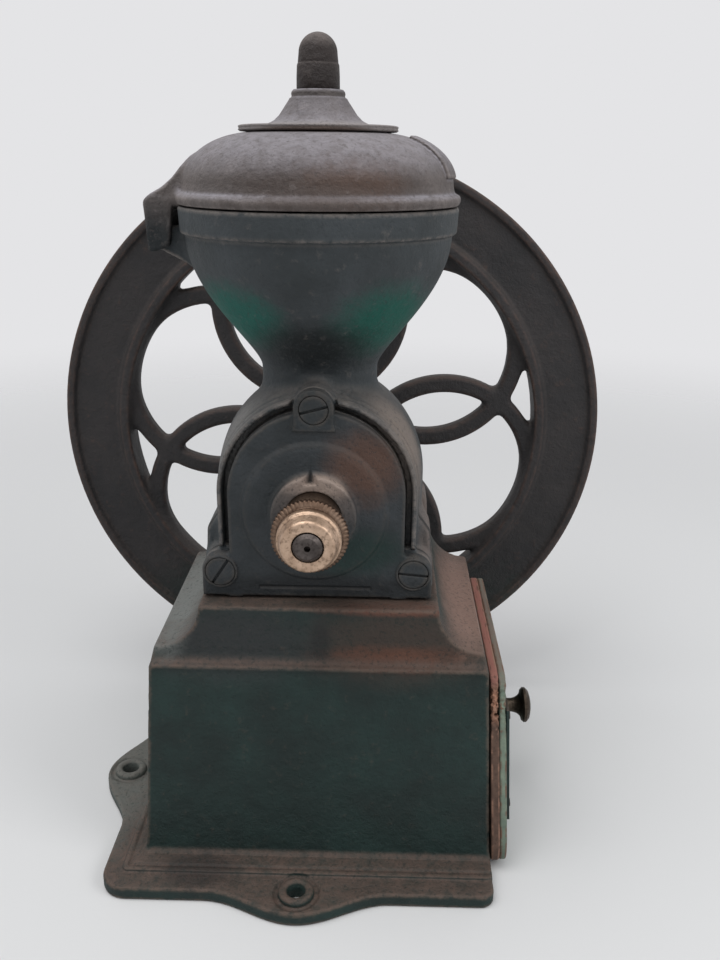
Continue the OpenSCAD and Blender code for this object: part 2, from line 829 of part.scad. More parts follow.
// A round pin or bore square to the shaft, near the turning burr's small end
module cross_pin(r, length) {
    translate([0, cone_back - 4, shaft_z])
        cylinder(r = r, h = length, center = true);
}
module burr_pin() {
    color(steel)
    cross_pin(burr_pin_r, 2 * cone_small_r - 4);
}
module main_shaft() {
    color(steel)
    difference() {
        union() {
            turned_y()
                polygon([
                    [0, shaft_end], [shaft_r - 1.5, shaft_end], [shaft_r, shaft_end + 1.2],
                    [shaft_r, barrel_back + bush_flange_t + nut_travel + 0.45],
                    [shaft_r + 2, barrel_back + bush_flange_t + nut_travel + 0.45],
                    [shaft_r + 2, hub_front - seat_gap], [shaft_r, hub_front - seat_gap],
                    [shaft_r, hub_back + washer_t - 0.4], [stub_r, hub_back + washer_t - 0.4],
                    [stub_r, hub_back + washer_t + wheel_nut_t + 2],
                    [0, hub_back + washer_t + wheel_nut_t + 2]
                ]);
        }
        rod_y(1.3, shaft_end - over, shaft_end + 3);
        cross_pin(burr_pin_r + 0.05, 2 * cone_big_r);
        block(
            [-2, hub_front + 4, shaft_z + shaft_r - 2.5],
            [2, hub_back - 4, shaft_z + shaft_r + over]
        );
    }
}
module thrust_sleeve() {
    color(brass)
    difference() {
        rod_y(sleeve_r, sleeve_front, sleeve_back);
        rod_y(shaft_r + fit_gap, sleeve_front - over, sleeve_back + over);
    }
}
module adjusting_nut() {
    nut_r = nut_d / 2;
    face_r = nut_face_d / 2;
    color(brass)
    difference() {
        turned_y()
            polygon([
                [shaft_r + 0.5, nut_face], [face_r - 0.6, nut_face], [face_r, nut_face + 0.8],
                [face_r + 1.2, knurl_front - 4.6], [face_r + 2.2, knurl_front - 4],
                [face_r + 2.2, knurl_front - 0.4], [nut_r - 1.4, knurl_front], [nut_r, knurl_front + 0.9],
                [nut_r, knurl_back - 0.9], [nut_r - 1.4, knurl_back], [spigot_r, knurl_back],
                [spigot_r, spigot_end], [shaft_r + 0.3, spigot_end],
                [shaft_r + 0.3, nut_face + 3], [shaft_r + 0.5, nut_face + 2.2]
            ]);
        for (i = [0:knurl_count - 1])
            rotate_about_shaft(360 * i / knurl_count)
                rod_y(0.75, knurl_front - over, knurl_back + over, 0, shaft_z + nut_r + 0.3);
    }
}
module rotate_about_shaft(a) {
    translate([0, 0, shaft_z])
        rotate([0, a, 0])
            translate([0, 0, -shaft_z])
                children();
}
module feed_screw() {
    color(steel)
    difference() {
        union() {
            rod_y(shaft_r + 3.5, feed_y0, feed_y1);
            translate([0, feed_y1 - 1.5, shaft_z])
                rotate([90, 0, 0])
                    linear_extrude(feed_y1 - feed_y0 - 3, twist = 220, slices = 22)
                        square([2 * auger_r, 4.5], center = true);
        }
        rod_y(shaft_r + seat_gap, feed_y0 - over, feed_y1 + over);
    }
}
module rear_bush() {
    color(brass)
    difference() {
        union() {
            rod_y(bush_r, barrel_back - rear_wall, barrel_back + over);
            rod_y(bush_flange_r, barrel_back + seat_gap, barrel_back + bush_flange_t);
        }
        rod_y(shaft_r + fit_gap, barrel_back - rear_wall - over, barrel_back + bush_flange_t + over);
    }
}
// Coil spring that holds the shaft forward against the nut
spring_wire = spring_wire_d / 2;
spring_y0 = feed_y1 + nut_travel + 0.2;
spring_y1 = barrel_back - rear_wall - 0.1;
spring_steps = 16 * spring_turns;
module shaft_spring() {
    climb = spring_y1 - spring_y0 - 2 * spring_wire;
    coil_y0 = spring_y0 + spring_wire;
    rings = [for (i = [0:spring_steps], k = [0:5])
        let (a = 360 * spring_turns * i / spring_steps, b = 60 * k, r = spring_r + spring_wire * cos(b))
        [r * cos(a), coil_y0 + climb * i / spring_steps + spring_wire * sin(b), shaft_z + r * sin(a)]];
    sides = [for (i = [0:spring_steps - 1], k = [0:5])
        let (n = 6 * i + k, m = 6 * i + (k + 1) % 6)
        each [[n, m, m + 6], [n, m + 6, n + 6]]];
    ends = [
        [0, 5, 4, 3, 2, 1],
        [for (k = [0:5]) 6 * spring_steps + k]
    ];
    color(steel)
    polyhedron(points = rings, faces = concat(sides, ends));
}

// Flywheel: rim, pattern of crossing rings and hub
band_outline = [
    [-band_w / 2, -band_half + band_chamfer], [-band_w / 2 + band_chamfer, -band_half],
    [band_w / 2 - band_chamfer, -band_half], [band_w / 2, -band_half + band_chamfer],
    [band_w / 2, band_half - band_chamfer], [band_w / 2 - band_chamfer, band_half],
    [-band_w / 2 + band_chamfer, band_half], [-band_w / 2, band_half - band_chamfer]
];
module flywheel() {
    color(dark_iron)
    difference() {
        union() {
            turned_y()
                polygon([
                    [rim_in, wheel_y], [rim_in + inner_bead, wheel_y],
                    [rim_in + inner_bead + 1.5, web_front], [wheel_r - outer_bead - 1.5, web_front],
                    [wheel_r - outer_bead, wheel_y], [wheel_r, wheel_y],
                    [wheel_r, wheel_y + wheel_t], [wheel_r - outer_bead, wheel_y + wheel_t],
                    [wheel_r - outer_bead - 1.5, web_back], [rim_in + inner_bead + 1.5, web_back],
                    [rim_in + inner_bead, wheel_y + wheel_t], [rim_in, wheel_y + wheel_t]
                ]);
            difference() {
                for (i = [0:petals - 1])
                    turned_y(
                        petal_out * cos(petal_turn + 360 * i / petals),
                        shaft_z + petal_out * sin(petal_turn + 360 * i / petals)
                    )
                        translate([petal_r, wheel_mid])
                            polygon(band_outline);
                difference() {
                    rod_y(wheel_r + 20, wheel_y - over, wheel_y + wheel_t + over);
                    rod_y(rim_in + 2, wheel_y - 2 * over, wheel_y + wheel_t + 2 * over);
                }
            }
            rod_y(hub_r, hub_front, hub_back);
        }
        rod_y(shaft_r + seat_gap, hub_front - over, hub_back + over);
        block(
            [-2 - seat_gap, hub_front - over, shaft_z],
            [2 + seat_gap, hub_back + over, shaft_z + shaft_r + 2.5]
        );
        rod_y(spindle_d / 2 + seat_gap, wheel_y - over, wheel_y + wheel_t + over, handle_x, handle_z);
    }
}
module wheel_key() {
    color(steel)
    block(
        [-2 + seat_gap, hub_front + 4 + seat_gap, shaft_z + shaft_r - 2.5 + seat_gap],
        [2 - seat_gap, hub_back - 4 - seat_gap, shaft_z + shaft_r + 2.4]
    );
}
module wheel_washer() {
    color(steel)
    difference() {
        rod_y(hub_r - 5, hub_back + seat_gap, hub_back + washer_t);
        rod_y(shaft_r + 0.3, hub_back - over, hub_back + washer_t + over);
    }
}
module wheel_nut() {
    color(steel)
    difference() {
        translate([0, hub_back + washer_t + wheel_nut_t, shaft_z])
            rotate([90, 0, 0])
                cylinder(r = 10, h = wheel_nut_t - seat_gap, $fn = 6);
        rod_y(stub_r + seat_gap, hub_back, hub_back + washer_t + wheel_nut_t + over);
    }
}

// Crank handle on the back of the rim
spindle_r = spindle_d / 2;
grip_y0 = web_back + 3.6;
grip_y1 = grip_y0 + grip_len;
module handle_spindle() {
    color(steel)
    turned_y(handle_x, handle_z)
        polygon([
            [0, web_front - 8], [spindle_r, web_front - 8], [spindle_r, web_back + seat_gap],
            [spindle_r + 4, web_back + seat_gap], [spindle_r + 4, web_back + 3], [spindle_r, web_back + 3],
            [spindle_r, grip_y1 + 2], [spindle_r + 3.5, grip_y1 + 2.02], [spindle_r + 2.5, grip_y1 + 5],
            [0, grip_y1 + 6]
        ]);
}
module spindle_nut() {
    color(steel)
    difference() {
        translate([handle_x, web_front - seat_gap, handle_z])
            rotate([90, 0, 0])
                cylinder(r = 8, h = 6, $fn = 6);
        rod_y(spindle_r + seat_gap, web_front - 10, web_front + over, handle_x, handle_z);
    }
}
module grip_washer() {
    color(steel)
    difference() {
        rod_y(spindle_r + 5, grip_y1 + 0.4, grip_y1 + 1.9, handle_x, handle_z);
        rod_y(spindle_r + seat_gap, grip_y1, grip_y1 + 3, handle_x, handle_z);
    }
}
module handle_grip() {
    bore = spindle_r + fit_gap;
    grip_r = grip_d / 2;
    color(wood)
    turned_y(handle_x, handle_z)
        polygon(concat(
            [[bore, grip_y0], [grip_r - 5.5, grip_y0]],
            [[grip_r - 4.5, grip_y0 + 2], [grip_r - 4.5, grip_y0 + 6]],
            [for (i = [1:12]) let (t = i / 12)
                [grip_r - 6 + 6 * pow(sin(180 * pow(t, 1.3)), 0.8), grip_y0 + 8 + (grip_len - 16) * t]],
            arc(grip_r - 9, grip_y1 - 7, 5, 7, 40, 90, 4),
            [[bore, grip_y1]]
        ));
}

// Lid with its hinge cheeks
dome_r = lid_r - 3.4;
dome_in = 26;
lid_outside = concat(
    [[0, lid_z], [lid_r - 0.5, lid_z], [lid_r, lid_z + 0.8], [lid_r, lid_z + lid_flange_t - 1.6]],
    arc(lid_r - 1.4, lid_z + lid_flange_t - 1.6, 1.4, 1.6, 0, 90, 4),
    [[dome_r + 0.9, lid_z + lid_flange_t + 1.2]],
    arc(dome_in, dome_z, dome_r - dome_in, dome_top - dome_z, 0, 90, 12),
    [[0, dome_top]]
);
lid_inside = concat(
    [[0, lid_z - over], [dome_r - lid_wall, lid_z - over]],
    arc(dome_in, dome_z, dome_r - lid_wall - dome_in, dome_top - lid_wall - dome_z, 0, 90, 12),
    [[0, dome_top - lid_wall]]
);
arm_outline = [
    [-dome_r + 4, lid_z + 0.4], [-rim_r - 1, lid_z + 0.2], [-rim_r - 2, lid_z - 3.4],
    [-hinge_x + 1, hinge_z + 8.3], [-hinge_x - 4, hinge_z + 8.3], [-hinge_x - 5.4, hinge_z + 14],
    [-hinge_x - 2, lid_z + 3.4], [-rim_r - 2, lid_z + 6.4], [-dome_r + 2, lid_z + 9]
];
cheek_outline = [
    [-rim_r - 2, lid_z - 3.4], [-rim_r - 2.6, hinge_z + 3], [-rim_r - 3.4, hinge_z - 4],
    [-hinge_x - 3, hinge_z - 6.6], [-hinge_x - 4.4, hinge_z - 6.2], [-hinge_x - 5.4, hinge_z + 14],
    [-hinge_x - 2, lid_z + 3.4], [-rim_r - 2, lid_z + 2]
];
module lid() {
    color(dusty_iron)
    difference() {
        union() {
            rotate_extrude()
                polygon(lid_outside);
            along_y(-cheek_out, cheek_out)
                polygon(arm_outline);
            for (side = [0, 1])
                mirror([0, side, 0])
                    along_y(cheek_in, cheek_out)
                        polygon(cheek_outline);
            rotate([0, 0, -22])
                rotate_extrude(angle = 44)
                    polygon(concat(
                        arc(dome_in, dome_z, dome_r - dome_in + 1.4, dome_top - dome_z + 1.4, 8, 62, 10),
                        arc(dome_in, dome_z, dome_r - dome_in - 1, dome_top - dome_z - 1, 62, 8, 10)
                    ));
        }
        rotate_extrude()
            polygon(lid_inside);
        rod_y(pin_r + fit_gap, -cheek_out - over, cheek_out + over, -hinge_x, hinge_z);
        translate([0, 0, dome_top - lid_wall - over])
            cylinder(r = stud_r + seat_gap, h = lid_wall + 2 * over);
    }
}
module lid_pedestal() {
    color(dusty_iron)
    difference() {
        rotate_extrude()
            polygon([
                [0, disc_z], [disc_r - 3, disc_z], [disc_r, disc_z + 1.2], [disc_r, pedestal_z - 0.6],
                [disc_r - 0.7, pedestal_z], [21.5, pedestal_z + 0.3], [18.6, pedestal_z + 1.8],
                [16.4, pedestal_z + 4], [14.8, pedestal_z + 6.3], [13.2, pedestal_z + 8.6],
                [12.2, knob_z - 3.4], [11.5, knob_z - 3], [11.3, knob_z - 1], [10.4, knob_z], [0, knob_z]
            ]);
        translate([0, 0, disc_z - over])
            cylinder(r = stud_r + seat_gap, h = knob_z);
    }
}
module lid_knob() {
    tip = knob_r - 1.2;
    color(dark_iron)
    difference() {
        rotate_extrude()
            polygon(concat(
                [[0, knob_z + seat_gap], [knob_r, knob_z + seat_gap], [knob_r - 0.5, knob_z + knob_h * 0.45]],
                [[tip, top_z - tip * 1.02]],
                arc(0, top_z - tip, tip, tip, 0, 90, 10)
            ));
        translate([0, 0, knob_z - over])
            cylinder(r = stud_r + seat_gap, h = knob_h * 0.6 + over);
    }
}
module knob_stud() {
    color(steel)
    translate([0, 0, dome_top - lid_wall - 8])
        cylinder(r = stud_r, h = knob_z + knob_h * 0.55 - dome_top + lid_wall + 8);
}
module knob_nut() {
    color(steel)
    difference() {
        translate([0, 0, dome_top - lid_wall - 5.5])
            cylinder(r = 6, h = 5.5 - seat_gap, $fn = 6);
        translate([0, 0, dome_top - lid_wall - 7])
            cylinder(r = stud_r + seat_gap, h = 8);
    }
}
module hinge_pin() {
    color(steel)
    rod_y(pin_r, -cheek_out, cheek_out, -hinge_x, hinge_z);
}

// Drawer
// Places a shape drawn against a flat wall onto the leaning side of the box, out from it
module on_side(out) {
    translate([right_x(foot_top) + front_gap, 0, foot_top])
        rotate([0, -side_tilt, 0])
            translate([out, 0, -foot_top])
                children();
}
front_top_y = half_d_at(front_top_z);
front_low_y = half_d_at(front_low_z);
front_outline = concat(
    arc(-front_top_y + 8, front_top_z - 6, 8, 6, 180, 90, 5),
    arc(front_top_y - 12, front_top_z - 12, 12, 12, 90, 0, 6),
    arc(front_low_y - 8, front_low_z + 14, 8, 14, 0, -90, 6),
    arc(-front_low_y + 8, front_low_z + 14, 8, 14, -90, -180, 6)
);
module drawer_front() {
    color(wood)
    on_side(0)
        difference() {
            along_x(0, front_t)
                polygon(front_outline);
            translate([-over, drawer_y, pull_z])
                rotate([0, 90, 0])
                    cylinder(r = pull_bore_r, h = front_t + 2 * over);
        }
}
module drawer_facing() {
    color(paint)
    on_side(front_t + seat_gap)
        difference() {
            along_x(0, facing_t)
                polygon(front_outline);
            translate([-over, drawer_y, pull_z])
                rotate([0, 90, 0])
                    cylinder(r = pull_bore_r, h = facing_t + 2 * over);
        }
}
// The tray's outline seen from the front, cut to the leaning drawer front
tray_x1 = right_x(foot_top) + front_gap - seat_gap;
tray_x0 = base_shift - half_w + base_wall + tray_back_gap;
lean = side_draft / (box_edge_z - foot_top);
function tray_end(z) = tray_x1 - lean * (z - foot_top);
module drawer_sides() {
    color(wood)
    for (side = [-1, 1])
        along_y(
            drawer_y + side * (tray_w - tray_wall) / 2 - tray_wall / 2,
            drawer_y + side * (tray_w - tray_wall) / 2 + tray_wall / 2
        )
            polygon([
                [tray_x0, tray_z0], [tray_end(tray_z0), tray_z0],
                [tray_end(tray_z1), tray_z1], [tray_x0, tray_z1]
            ]);
}
module drawer_back() {
    color(wood)
    block(
        [tray_x0, tray_y0 + tray_wall + seat_gap, tray_z0],
        [tray_x0 + tray_wall, tray_y1 - tray_wall - seat_gap, tray_z1]
    );
}
module drawer_floor() {
    color(wood)
    block(
        [tray_x0 + tray_wall + seat_gap, tray_y0 + tray_wall + seat_gap, tray_z0],
        [tray_end(tray_z0 + tray_floor) - 0.1, tray_y1 - tray_wall - seat_gap, tray_z0 + tray_floor]
    );
}
plate_out = front_t + facing_t + 2 * seat_gap;
plate_edge = 0.6;
plate_pin_r = 0.8;
plate_pin_in = 5;
// Y of the board's near end at a height, less the bare edge beside the plate
function plate_near(z) = plate_edge - half_d_at(z);
module drawer_plate() {
    far_y = drawer_y + badge_far;
    color(dark_iron)
    on_side(plate_out)
        difference() {
            along_x(0, badge_t)
                polygon([
                    [plate_near(badge_low_z), badge_low_z], [plate_near(badge_top_z), badge_top_z],
                    [far_y, badge_top_z], [far_y, badge_low_z]
                ]);
            translate([-over, drawer_y, pull_z])
                rotate([0, 90, 0])
                    cylinder(r = pull_bore_r, h = badge_t + 2 * over);
            pin_places()
                translate([0, 0, -over])
                    cylinder(r = plate_pin_r + fit_gap, h = badge_t + 2 * over);
        }
}
module pin_places() {
    for (z = [badge_low_z + plate_pin_in, badge_top_z - plate_pin_in])
        for (y = [plate_near(z) + plate_pin_in, drawer_y + badge_far - plate_pin_in])
            translate([0, y, z])
                rotate([0, 90, 0])
                    children();
}
module plate_pins() {
    color(steel)
    on_side(plate_out)
        pin_places() {
            translate([0, 0, seat_gap])
                cylinder(r = plate_pin_r, h = badge_t + 0.3);
            translate([0, 0, badge_t + seat_gap])
                cylinder(r = plate_pin_r + 1, h = 0.8);
        }
}
module drawer_pull() {
    pull_r = pull_d / 2;
    x0 = badge_t + seat_gap;
    color(brass)
    on_side(plate_out)
        translate([0, drawer_y, pull_z])
            rotate([0, 90, 0])
                difference() {
                    rotate_extrude()
                        polygon(concat(
                            [[0, x0], [5.2, x0], [5.2, x0 + 1.2], [3.9, x0 + 2.6], [3.4, pull_out * 0.42]],
                            arc(3.4 + 4.2, pull_out * 0.45, 4.2, pull_out * 0.3, 170, 105, 5),
                            [[pull_r - 1, pull_out - 4.6], [pull_r, pull_out - 3.6]],
                            [[pull_r, pull_out - 2.4], [pull_r - 1.6, pull_out - 0.9]],
                            [[4, pull_out], [0, pull_out]]
                        ));
                    translate([0, 0, -over])
                        cylinder(r = pull_screw_r + seat_gap, h = pull_screw_in + 0.5 + over);
                }
}
module pull_screw() {
    color(steel)
    on_side(0)
        translate([0, drawer_y, pull_z])
            rotate([0, 90, 0])
                difference() {
                    union() {
                        translate([0, 0, -2.4])
                            cylinder(r = 4, h = 2.4 - seat_gap);
                        translate([0, 0, -over])
                            cylinder(r = pull_screw_r, h = plate_out + pull_screw_in + over);
                    }
                    translate([0, 0, -2.4])
                        cube([1, 10, 1.6], center = true);
                }
}
module drawer_nails() {
    color(steel)
    for (side = [-1, 1], z = [tray_z0 + 8, (tray_z0 + tray_z1) / 2, tray_z1 - 8])
        translate([0, drawer_y + side * (tray_w - tray_wall) / 2, z])
            rotate([0, 90, 0])
                translate([0, 0, tray_x0 - 0.9])
                    cylinder(r = 1.8, h = 0.85);
}

base_casting();
hopper_housing();
housing_bolts();
front_plate();
plate_screws();
burr_ring();
ring_key();
rear_bush();
thrust_sleeve();
adjusting_nut();
main_shaft();
turning_burr();
burr_pin();
feed_screw();
shaft_spring();
flywheel();
wheel_key();
wheel_washer();
wheel_nut();
handle_spindle();
spindle_nut();
handle_grip();
grip_washer();
lid();
lid_pedestal();
lid_knob();
knob_stud();
knob_nut();
hinge_pin();
drawer_front();
drawer_facing();
drawer_sides();
drawer_back();
drawer_floor();
drawer_plate();
plate_pins();
drawer_pull();
pull_screw();
drawer_nails();
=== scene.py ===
"""Looks of the wheel coffee grinder: an old, hand-turned cast iron mill with dusty green-black paint.

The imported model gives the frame: +Z up, +Y along the shaft towards the flywheel, +X towards the drawer.
Shapes are worked out in millimetres and put into the meshes in metres.

A sand casting has a fillet wherever two of its forms meet and no sharp edge, which no sheet of a grid gives. So each
casting is a distance field, a function of place that is below zero in the iron and above zero outside it, and its
mesh is the surface where the field is zero. Turned pieces are profiles carried round their axes.
"""

import json
import math

import bmesh
import bpy
import numpy as np
from mathutils import Matrix, Vector


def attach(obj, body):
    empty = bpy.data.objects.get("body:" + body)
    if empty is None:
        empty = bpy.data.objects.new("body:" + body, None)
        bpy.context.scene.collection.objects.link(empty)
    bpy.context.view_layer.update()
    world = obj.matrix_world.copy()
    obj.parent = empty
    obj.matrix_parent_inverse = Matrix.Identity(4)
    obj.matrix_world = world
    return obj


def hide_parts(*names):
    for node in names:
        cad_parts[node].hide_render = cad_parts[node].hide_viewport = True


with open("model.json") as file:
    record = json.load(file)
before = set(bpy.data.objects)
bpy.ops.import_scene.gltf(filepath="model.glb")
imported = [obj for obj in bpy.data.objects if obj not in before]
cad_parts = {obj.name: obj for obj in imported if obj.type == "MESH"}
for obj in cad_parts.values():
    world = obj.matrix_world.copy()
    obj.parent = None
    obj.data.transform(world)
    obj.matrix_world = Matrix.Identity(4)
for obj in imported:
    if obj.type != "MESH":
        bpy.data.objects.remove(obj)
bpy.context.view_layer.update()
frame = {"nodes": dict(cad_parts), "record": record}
nodes = frame["nodes"]
MM = 0.001

# Places and sizes that the pieces share, in millimetres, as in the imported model
SHAFT_Z = 168.5
BASE_X = 2.0
FOOT_TOP = 7.7
SEAT_Z = 127.0
ARCH_X, ARCH_Z = 0.8, 175.0
PLATE_BACK, PLATE_FACE, COLLAR_FACE = -38.0, -43.0, -50.0
LOW_SCREW_X, LOW_SCREW_Z = 42.9, 139.9
TOP_SCREW_Z = 214.5
RIM_Z, RIM_R = 294.0, 60.2
NECK_Z, NECK_R = 225.5, 26.2
LID_Z, LID_R = 294.6, 60.8
DOME_IN, DOME_Z, DOME_R, DOME_TOP = 26.0, 303.0, 57.4, 323.4
HINGE_X, HINGE_Z = -68.5, 281.0
WHEEL_Y, WHEEL_R, RIM_IN = 93.0, 150.0, 114.8
HANDLE_Z = 36.1


# Distance fields

def round_union(a, b, r):
    """Both forms, with a fillet about r across where they meet."""
    near = np.maximum(r - np.abs(a - b), 0)
    return np.minimum(a, b) - near * near / (4 * r)


def round_cut(a, b, r):
    """The first form with the second cut out of it, the edge rounded by about r."""
    near = np.maximum(r - np.abs(a + b), 0)
    return np.maximum(a, -b) + near * near / (4 * r)


def corner(a, b, r):
    """What two forms at right angles share, its edge rounded to radius r."""
    over_a, over_b = np.maximum(a + r, 0), np.maximum(b + r, 0)
    return np.minimum(np.maximum(a, b) + r, 0) + np.hypot(over_a, over_b) - r


def span(v, low, high):
    """Everything between two parallel planes."""
    return np.abs(v - (low + high) / 2) - (high - low) / 2


def arch(u, z, top_z):
    """Distance from the middle line of an arch with straight legs: from the centre above it, from the plane below."""
    return np.hypot(u, np.maximum(z - top_z, 0))


def arc(cx, cy, rx, ry, start, end, n=12):
    """Points along an arc of an ellipse, with the angles in degrees."""
    a = np.radians(np.linspace(start, end, n + 1))
    return np.stack([cx + rx * np.cos(a), cy + ry * np.sin(a)], 1)


def outline(*parts, soft=0.4, grain=0.3):
    """The field of a closed outline. The exact distance to each edge is put in a fine table, which is blurred a
    little to ease the corners and then read between its points."""
    points = np.concatenate([np.reshape(part, (-1, 2)) for part in parts]).astype(float)
    low = points.min(0) - 8
    size = np.ceil((points.max(0) + 8 - low) / grain).astype(int) + 1
    u = low[0] + grain * np.arange(size[0])[:, None]
    v = low[1] + grain * np.arange(size[1])[None]
    nearest, inside = np.full(size, 1e9), np.zeros(size, bool)
    for (u0, v0), (u1, v1) in zip(points, np.roll(points, -1, axis=0)):
        du, dv = u1 - u0, v1 - v0
        along = np.clip(((u - u0) * du + (v - v0) * dv) / max(du * du + dv * dv, 1e-9), 0, 1)
        nearest = np.minimum(nearest, np.hypot(u - u0 - along * du, v - v0 - along * dv))
        if dv:
            inside ^= ((v0 > v) != (v1 > v)) & (u < u0 + (v - v0) * du / dv)
    waves = np.fft.rfft2(np.where(inside, -nearest, nearest))
    rate = np.fft.fftfreq(size[0], grain)[:, None] ** 2 + np.fft.rfftfreq(size[1], grain)[None] ** 2
    table = np.fft.irfft2(waves * np.exp(-2 * (np.pi * soft) ** 2 * rate), size)

    def field(a, b):
        i = np.clip((a - low[0]) / grain, 0, size[0] - 1.001)
        j = np.clip((b - low[1]) / grain, 0, size[1] - 1.001)
        i0, j0 = i.astype(int), j.astype(int)
        i, j = i - i0, j - j0
        near = (1 - i) * table[i0, j0] + i * table[i0 + 1, j0]
        far = (1 - i) * table[i0, j0 + 1] + i * table[i0 + 1, j0 + 1]
        return (1 - j) * near + j * far

    return field


def mirrored(half):
    """A half outline with its mirror image across the first direction's zero."""
    half = np.array(half, float)
    return np.concatenate([half, half[::-1] * (-1, 1)])


# Meshes

def make(name, points, faces, normals=None, **values):
    """An object from arrays of points in millimetres and of faces with four corners each. values are attributes of
    the points."""
    mesh = bpy.data.meshes.new(name)
    mesh.vertices.add(len(points))
    mesh.vertices.foreach_set("co", (points * MM).ravel())
    mesh.loops.add(faces.size)
    mesh.loops.foreach_set("vertex_index", faces.ravel())
    mesh.polygons.add(len(faces))
    mesh.polygons.foreach_set("loop_start", np.arange(len(faces)) * faces.shape[1])
    mesh.update(calc_edges=True)
    for key, value in values.items():
        mesh.attributes.new(key, "FLOAT", "POINT").data.foreach_set("value", value.astype(np.float32))
    if normals is not None:
        mesh.normals_split_custom_set_from_vertices(normals)
    piece = bpy.data.objects.new(name, mesh)
    bpy.context.scene.collection.objects.link(piece)
    return piece


def slope_of(field, points, reach=0.35):
    """How fast a field grows along each direction at a list of points."""
    ways = reach * np.eye(3)
    return np.stack([field(*(points + way).T) - field(*(points - way).T) for way in ways], 1) / (2 * reach)


def skin(name, field, low, high, step, place=None, reach=2.0):
    """The surface where a field is zero. The field is worked out on a grid. Each cell that the surface passes
    through gets one point, at the mean of the places where it crosses the cell's edges, and each crossed edge gets
    one face, between the points of the four cells round it. The points then slide down the field's slope onto the
    surface, and the normals are the slope. The attribute bend says how the surface bends: above zero at an edge,
    below zero in a hollow."""
    low = np.array(low, float) - 1.37 * step
    count = np.ceil((np.array(high) - low) / step + 1.4).astype(int) + 1
    lines = [low[k] + step * np.arange(count[k]) for k in range(3)]
    values = field(*np.meshgrid(*lines, indexing="ij", sparse=True)) + np.zeros(count)
    cells = count - 1
    hits, sums, rings = np.zeros(cells.prod()), np.zeros((3, cells.prod())), []
    for k in range(3):
        u, v = (k + 1) % 3, (k + 2) % 3
        start = np.moveaxis(values, k, 0)[:-1]
        end = np.moveaxis(values, k, 0)[1:]
        at = np.argwhere(np.moveaxis((start < 0) != (end < 0), 0, k))
        at = at[(at[:, u] > 0) & (at[:, u] < cells[u]) & (at[:, v] > 0) & (at[:, v] < cells[v])]
        ahead = at.copy()
        ahead[:, k] += 1
        first, second = values[tuple(at.T)], values[tuple(ahead.T)]
        crossing = at.astype(float)
        crossing[:, k] += first / (first - second)
        ring = []
        for back_u, back_v in ((0, 0), (1, 0), (1, 1), (0, 1)):
            cell = at.copy()
            cell[:, u] -= back_u
            cell[:, v] -= back_v
            number = np.ravel_multi_index(cell.T, cells)
            ring.append(number)
            hits += np.bincount(number, minlength=len(hits))
            for way in range(3):
                sums[way] += np.bincount(number, crossing[:, way], len(hits))
        ring = np.stack(ring, 1)
        rings.append(np.where((first < 0)[:, None], ring, ring[:, ::-1]))
    used = np.flatnonzero(hits)
    order = np.zeros(len(hits), int)
    order[used] = np.arange(len(used))
    points = (sums[:, used] / hits[used]).T * step + low
    for _ in range(3):
        slope = slope_of(field, points)
        move = slope * (field(*points.T) / np.maximum((slope ** 2).sum(1), 0.3))[:, None]
        points -= np.clip(move, -0.5 * step, 0.5 * step)
    points[:, 2] = np.maximum(points[:, 2], 0)
    slope = slope_of(field, points)
    ways = reach * np.eye(3)
    bend = sum(field(*(points + way).T) + field(*(points - way).T) for way in ways) - 6 * field(*points.T)
    normals = slope / np.maximum(np.linalg.norm(slope, axis=1, keepdims=True), 1e-6)
    if place:
        points, normals = place(points), place(points + normals) - place(points)
    return make(name, points, order[np.concatenate(rings)], normals, bend=bend / reach ** 2)


def turned(name, profile, centre, along, sides=96, wrap=False):
    """A profile carried round an axis. profile lists radius and place along the axis, from the low end to the high
    end, with the outside to its right. It starts and ends on the axis, or closes on itself where wrap is true."""
    profile = np.array(profile, float)
    turn = np.linspace(0, 2 * np.pi, sides, endpoint=False)
    radius, height = np.repeat(profile[:, :1], sides, 1), np.repeat(profile[:, 1:], sides, 1)
    if along == "z":
        grid = np.stack([radius * np.cos(turn), radius * np.sin(turn), height], 2)
    else:
        grid = np.stack([radius * np.sin(turn), height, radius * np.cos(turn)], 2)
    rows = len(profile)
    index = np.arange(rows * sides).reshape(rows, sides)
    upper = np.roll(index, -1, 0) if wrap else index[1:]
    lower = index if wrap else index[:-1]
    faces = np.stack([lower, np.roll(lower, -1, 1), np.roll(upper, -1, 1), upper], 2).reshape(-1, 4)
    piece = make(name, grid.reshape(-1, 3) + centre, faces)
    close = bmesh.new()
    close.from_mesh(piece.data)
    bmesh.ops.remove_doubles(close, verts=close.verts, dist=1e-6)
    close.to_mesh(piece.data)
    close.free()
    return piece


def stands_for(piece, body, slot, material, *names):
    """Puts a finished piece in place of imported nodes."""
    dress(piece, material)
    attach(piece, body)
    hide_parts(*names)
    return piece


# Foot and box of the base

def ear_swell(t, out, half):
    """A smooth swelling of a straight edge."""
    return np.where(np.abs(t) < half, out * (1 + np.cos(np.pi * t / half)) / 2, 0)


